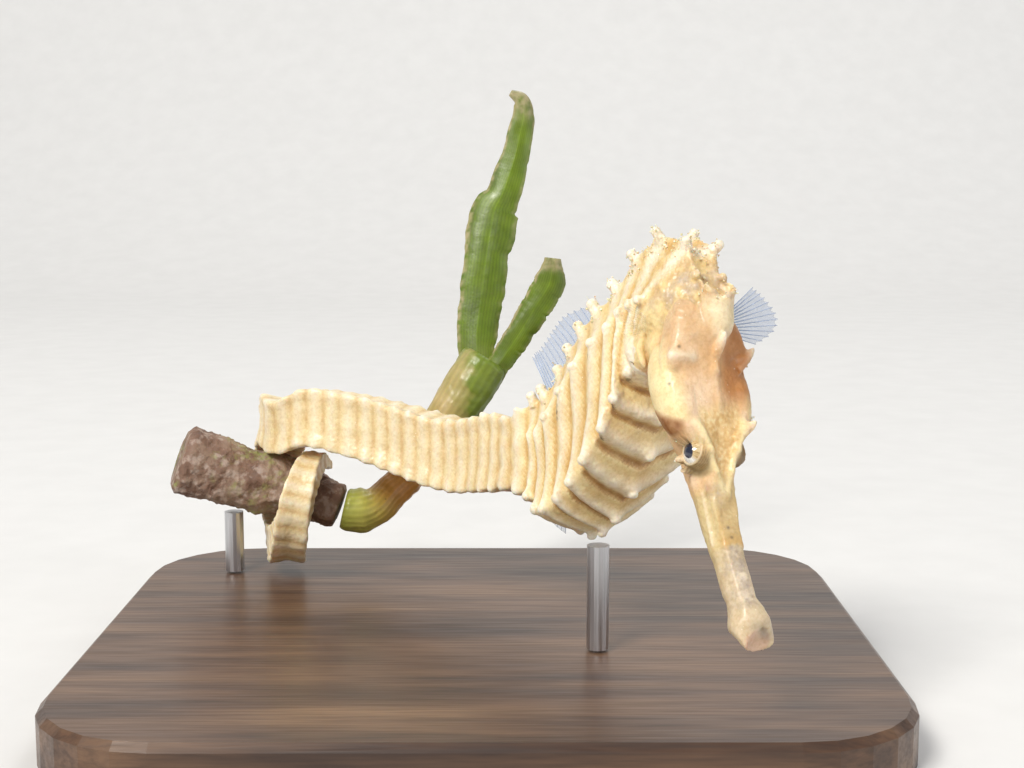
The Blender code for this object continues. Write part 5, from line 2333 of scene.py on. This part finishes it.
@dataclass
class Eye:
    """One eyeball with a bulging clear front."""

    sign: float
    head: Head

    @staticmethod
    def gaze(sign: float) -> Array:
        """Where the eye of one side looks."""
        return unit(0.95 * sign * SIDE - 0.2 * ALONG + 0.18 * CROWNWARD)

    def build(self, finish: Material) -> Piece:
        """Builds the ball about its own middle, its Z along the gaze and X along the head.

        Args:
            finish: Material of the piece.

        Returns:
            The eyeball.
        """
        side = "right" if self.sign > 0 else "left"
        rings, round_ = 72, 96
        a = np.linspace(0.004, math.pi - 0.004, rings)[:, None]
        t = np.linspace(0, 2 * math.pi, round_, endpoint=False)[None]
        radius = self.head.eye_radius * (1 + 0.07 * bell(a, 0.5))
        flat = radius * np.sin(a)
        grid = np.stack([flat * np.cos(t), flat * np.sin(t), radius * np.cos(a) + 0 * t], -1)
        mesh = Shell.grid(grid * MM).mesh("eyeball_" + side, world=False)
        obj = add_piece("eyeball_" + side, mesh, finish)
        z = self.gaze(self.sign)
        x = unit(ALONG - z * (ALONG @ z))
        axes = turn_to_world(np.array((x, np.cross(z, x), z)))
        middle = to_world(self.head.eye_middle(self.sign))[0]
        matrix = Matrix(axes.T.tolist()).to_4x4()
        matrix.translation = Vector(middle)
        obj.matrix_world = matrix
        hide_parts("eye_" + side)
        return obj


@dataclass
class Fin:
    """A fan of rays joined by clear skin."""

    name: str
    node: str
    rays: Array
    thickness: float = 0.09
    ray_radius: float = 0.075

    def build(self, skin: Material, bone: Material) -> list[Piece]:
        """Builds the skin and the rays.

        Args:
            skin: Finish of the clear skin.
            bone: Finish of the rays.

        Returns:
            The fin's skin and its rays, one mesh each.
        """
        count, stops, _ = self.rays.shape
        fine = smooth_curve(np.arange(count), self.rays, np.linspace(0, count - 1, (count - 1) * 8 + 1))
        along = np.gradient(fine, axis=1)
        across = np.gradient(fine, axis=0)
        normal = unit(np.cross(along, across))
        t = np.linspace(0, 1, stops)[None, :, None]
        between = np.abs(np.sin(np.linspace(0, count - 1, len(fine)) * math.pi))[:, None, None]
        fine = fine - along * stops * (0.05 * between * t**3)
        fine = fine + normal * 0.1 * between * np.sin(t * 5)
        half = self.thickness / 2
        rings = np.concatenate([fine + normal * half, (fine - normal * half)[:, ::-1]], axis=1)
        sheet = add_piece(self.name, Shell.grid(rings).mesh(self.name), skin)
        shells = []
        for ray in self.rays:
            radii = self.ray_radius * (1.25 - 0.85 * np.linspace(0, 1, stops))
            wobble = 1 + 0.12 * np.cos(np.linspace(0, 1, stops) * 60)
            shells.append(Shell.grid(tube(ray, radii * wobble, 8, (0.3, 0.4, 0.86))))
        bones = add_piece(self.name + "_rays", Shell.joined(shells).mesh(self.name + "_rays"), bone)
        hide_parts(self.node)
        return [sheet, bones]


@dataclass
class Fins:
    """All fins, rooted on the body."""

    body: Body
    dorsal: tuple[float, float] = (7.0, 10.9)
    dorsal_reach: tuple[tuple[float, float], ...] = ((5.4, 1.4), (7.6, 3.3), (7.6, 3.2), (5.8, 3.0))
    anal: tuple[float, float, float] = (11.0, 11.6, 2.2)
    pectoral_root: tuple[float, float] = (11.4, 5.4)
    pectoral_out: tuple[float, float] = (5.1, 5.3)
    pectoral_reach: tuple[float, float] = (3.6, 7.9)

    def dorsal_rays(self) -> Array:
        """Rays of the back fin, each curving back and fading to a rounded edge.

        Returns:
            Array of rays by points by three.
        """
        first, last = self.dorsal
        rays, t = [], np.linspace(0, 1, 24)[:, None]
        for w in np.linspace(0, 1, 17):
            ring = first + (last - first) * w
            fr = self.body.spine.frames(np.array([ring]))
            up, travel = fr.up[0], fr.travel[0]
            foot = self.body.place(ring, 7.0) - up * 0.25
            high, back = smooth_curve((0, 0.25, 0.6, 1), self.dorsal_reach, w)[0]
            sway = SIDE * 0.35 * math.sin(w * 4.0 + 0.6)
            rays.append(foot + up * high * t + travel * back * t**1.3 + sway * t**2)
        return np.array(rays)

    def anal_rays(self) -> Array:
        """Rays of the small fin under the trunk.

        Returns:
            Array of rays by points by three.
        """
        first, last, height = self.anal
        rays, t = [], np.linspace(0, 1, 12)[:, None]
        for w in np.linspace(0, 1, 5):
            ring = first + (last - first) * w
            fr = self.body.spine.frames(np.array([ring]))
            foot = self.body.place(ring, 0.0) + fr.up[0] * 0.2
            way = -unit(fr.up[0] - (0.35 + 0.4 * w) * fr.travel[0])
            rays.append(foot + way * height * t)
        return np.array(rays)

    def pectoral_rays(self, sign: float) -> Array:
        """Rays of a side fin behind the head: spread on the left, laid back on the right.

        Args:
            sign: 1 on the animal's right, -1 on its left.

        Returns:
            Array of rays by points by three.
        """
        right = sign > 0
        lay = 0.7 if right else 0.08
        root = trunk_point(*self.pectoral_root, 1.8 + sign * self.pectoral_out[0 if right else 1])
        outward = unit(sign * SIDE * (1 - lay) + BACK * lay)
        reach = self.pectoral_reach[0 if right else 1]
        bow = np.cross(outward, UP)
        rays, t = [], np.linspace(0, 1, 24)[:, None]
        for w in np.linspace(0, 1, 13):
            angle = math.radians(-12 + 46 * w)
            foot = root + UP * (-0.2 + 1.6 * w) - outward * 0.4
            way = math.cos(angle) * outward + math.sin(angle) * UP
            tip = reach * smooth_curve((0, 0.35, 0.7, 1), (0.65, 1.0, 0.92, 0.76), w)[0]
            rays.append(foot + way * tip * t + bow * 0.4 * math.sin(w * 5) * t**2)
        return np.array(rays)

    def build(self) -> list[Piece]:
        """Builds every fin.

        Returns:
            The skin and the rays of each fin.
        """
        skin = FinFinish("fin_skin", (0.28, 0.38, 0.58), 0.22).make()
        bone = FinFinish("fin_bone", (0.42, 0.52, 0.70), 0.6).make()
        clear = FinFinish("fin_skin_clear", (0.8, 0.7, 0.5), 0.025).make()
        faint = FinFinish("fin_bone_faint", (0.85, 0.72, 0.45), 0.05).make()
        fins = (
            Fin("back_fin", "dorsal_fin", self.dorsal_rays()),
            Fin("under_fin", "anal_fin", self.anal_rays(), ray_radius=0.06),
            Fin("side_fin_right", "pectoral_fin_right", self.pectoral_rays(1.0), ray_radius=0.06),
            Fin("side_fin_left", "pectoral_fin_left", self.pectoral_rays(-1.0)),
        )
        pairs = ((skin, bone), (skin, bone), (clear, faint), (skin, bone))
        return [piece for fin, pair in zip(fins, pairs) for piece in fin.build(*pair)]


# ---------------------------------------------------------------- growth


@dataclass
class Growth:
    """Fuzz of tiny beads and threads that grows on the nape, crown and knobs."""

    skin: Piece
    body: Body
    seed: int = 11
    # Trunk ring and number of beads; head measures, reach and number of beads
    on_rings: tuple[tuple[int, int], ...] = (
        (2, 46), (3, 60), (4, 52), (5, 34), (6, 24), (7, 14), (8, 12), (9, 14), (10, 12),
    )
    on_head: tuple[tuple[Point, float, int], ...] = (
        ((-33.1, 9.6, -0.4), 2.3, 40),
        ((-21.5, 3.4, -4.0), 1.0, 12),
        ((-26.5, 3.0, -5.0), 3.0, 16),
        ((-14.5, 0.6, -2.0), 1.0, 7),
        ((-19.0, 0.8, 3.6), 1.4, 8),
    )

    def build(self) -> Piece:
        """Scatters the growth on the skin's own points.

        Returns:
            The growth.
        """
        mesh = self.skin.data
        count = len(mesh.vertices)
        co, no = np.empty(count * 3, np.float32), np.empty(count * 3, np.float32)
        mesh.vertices.foreach_get("co", co)
        mesh.vertex_normals.foreach_get("vector", no)
        co, no = co.reshape(-1, 3) / MM, no.reshape(-1, 3)
        rand = np.random.default_rng(self.seed)
        picks = [self._near(co, self._world(p), reach, n, rand) for p, reach, n in self._places()]
        shell = Shell.joined([self._bead(co[i], no[i], rand) for i in np.concatenate(picks)])
        shell.points = shell.points * MM
        obj = add_piece("growth", shell.mesh("growth", world=False), GrowthFinish().make())
        return obj

    @staticmethod
    def _world(point: Array) -> Array:
        """Point on the stand, in millimetres."""
        return to_world(point)[0] / MM

    def _places(self) -> list[tuple[Array, float, int]]:
        """Middles, reaches and numbers of the patches of growth.

        Returns:
            Middle, reach and number of each patch.
        """
        out = []
        for ring, amount in self.on_rings:
            for sign in (1.0, -1.0):
                p = self.body.place(float(ring), Row.UPPER.value, sign)
                out.append((p, 2.6 if ring < 5 else 1.6, amount))
        return out + [(head_point(*place), reach, amount) for place, reach, amount in self.on_head]

    @staticmethod
    def _near(co: Array, place: Array, reach: float, number: int, rand: np.random.Generator) -> Array:
        """Random skin points close to a place."""
        found = np.flatnonzero(apart(co, place) < reach)
        return rand.choice(found, min(number, len(found)), replace=False) if len(found) else found

    @staticmethod
    def _bead(at: Array, out: Array, rand: np.random.Generator) -> Shell:
        """A bead on a short thread.

        Args:
            at: Point on the skin.
            out: Direction the skin faces.
            rand: Source of random numbers.

        Returns:
            The bead and its thread.
        """
        out = unit(out + rand.normal(0, 0.35, 3))
        size = 0.05 + 0.1 * rand.random() ** 2
        lift = rand.choice((0.0, 0.05, 0.2, 0.4), p=(0.5, 0.25, 0.15, 0.1))
        t = np.linspace(0, 1, 5)
        thread = at + out * (lift * t - 0.03)[:, None] + rand.normal(0, 0.02, 3) * (t**2)[:, None]
        shells = [Shell.grid(tube(thread, np.full(5, 0.022), 5, (0.3, 0.5, 0.8)))] if lift > 0.1 else []
        a = np.linspace(0.15, math.pi - 0.15, 5)
        path = at + out * (lift + size * 0.6) - out * (np.cos(a) * size)[:, None]
        radii = np.sin(a) * size * rand.uniform(0.8, 1.2)
        shells.append(Shell.grid(tube(path, radii, 7, (0.2, 0.6, 0.7))))
        return Shell.joined(shells)


# ---------------------------------------------------------------- stand and studio


@dataclass
class Stand:
    """Base and rods, kept from the solid model and given their finishes."""

    def build(self) -> list[Piece]:
        """Dresses the stand's own solids.

        Returns:
            The dressed solids.
        """
        wood, steel = WoodFinish().make(), SteelFinish().make()
        done = []
        finishes = {"stand_base": wood, "stand_rod_perch": steel, "stand_rod_body": steel}
        for name, finish in finishes.items():
            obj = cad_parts[name]
            for slot in obj.material_slots:
                slot.material = finish
            done.append(obj)
        return done


@dataclass
class Studio:
    """Pale floor, soft lights and the camera."""

    camera_back: float = 160.0
    lens: float = 56.25
    # Name, place, size, watts and colour of each light
    lights: tuple[tuple[str, Point, float, float, Colour], ...] = (
        ("key", (-0.52, -0.72, 0.86), 0.42, 14.5, (1.0, 0.97, 0.92)),
        ("fill", (0.9, -0.5, 0.4), 0.6, 2.0, (0.95, 0.97, 1.0)),
        ("rim", (0.25, 0.5, 0.9), 0.4, 2.6, (1.0, 0.98, 0.95)),
    )
    sky: tuple[Colour, float] = ((0.9, 0.93, 1.0), 0.36)

    def build(self) -> None:
        """Sets everything round the model."""
        self._floor()
        for light in self.lights:
            self._light(*light)
        world = bpy.data.worlds.new("studio")
        bpy.context.scene.world = world
        world.use_nodes = True
        sky = world.node_tree.nodes["Background"].inputs
        sky["Color"].default_value = (*self.sky[0], 1.0)
        sky["Strength"].default_value = self.sky[1]
        bpy.context.scene.view_settings.view_transform = "Standard"
        self._camera()

    def _floor(self) -> None:
        """Large level floor that curves up far behind."""
        swing = np.linspace(0.1, 1.57, 14)
        depth = np.concatenate([np.linspace(-0.9, 0.5, 12), 0.5 + 0.3 * np.sin(swing), [0.8]])
        rise = np.concatenate([np.zeros(12), 0.3 * (1 - np.cos(swing)), [1.2]])
        wide = np.linspace(-1.6, 1.6, 9)
        points = np.array([[(x, y, z) for x in wide] for y, z in zip(depth, rise)])
        index = np.arange(points.shape[0] * 9).reshape(-1, 9)
        quads = np.stack([index[:-1, :-1], index[:-1, 1:], index[1:, 1:], index[1:, :-1]], -1)
        mesh = Shell(points.reshape(-1, 3), [quads.reshape(-1, 4)]).mesh("floor", world=False)
        add_piece("floor", mesh, FloorFinish().make())

    @staticmethod
    def _light(name: str, place: Point, size: float, watts: float, colour: Colour) -> None:
        """Square soft light aimed at the model.

        Args:
            name: Name of the light.
            place: Where it stands, in metres.
            size: Length of its side.
            watts: Power.
            colour: Colour of the light.
        """
        data = bpy.data.lights.new(name, "AREA")
        data.size, data.energy, data.color = size, watts, colour
        obj = bpy.data.objects.new(name, data)
        bpy.context.scene.collection.objects.link(obj)
        obj.location = place
        aim = Vector((0.0, 0.0, 0.03)) - Vector(place)
        obj.rotation_euler = aim.to_track_quat("-Z", "Y").to_euler()

    def _camera(self) -> None:
        """Camera level with the view frame, looking along its Y."""
        data = bpy.data.cameras.new("camera")
        data.lens, data.sensor_width = self.lens, 36.0
        data.clip_start, data.clip_end = 0.001, 10.0
        obj = bpy.data.objects.new("camera", data)
        bpy.context.scene.collection.objects.link(obj)
        c, s = math.cos(TIP_ANGLE), math.sin(TIP_ANGLE)
        matrix = Matrix(((1, 0, 0), (0, s, -c), (0, c, s))).to_4x4()
        matrix.translation = Vector(to_world(np.array((0.0, -self.camera_back, 0.0)))[0])
        obj.matrix_world = matrix
        bpy.context.scene.camera = obj


def main() -> None:
    """Builds the model in order and reports each piece."""
    logging.basicConfig(level=logging.INFO, format="%(name)s: %(message)s")
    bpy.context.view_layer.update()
    perch = Perch()
    spine = Spine(perch)
    body, head = Body(spine), Head()
    made = perch.build()
    skin = Skin(body, head).build()
    eye_finish = EyeFinish().make()
    eyes = [Eye(sign, head).build(eye_finish) for sign in (1.0, -1.0)]
    fins = Fins(body).build()
    growth = Growth(skin, body).build()
    for piece in (*made, skin, *eyes, *fins, growth):
        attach(piece, "root")
        LOG.info("%s: %d faces", piece.name, len(piece.data.polygons))
    for piece in Stand().build():
        LOG.info("%s dressed", piece.name)
    Studio().build()


if __name__ == "__main__":
    main()
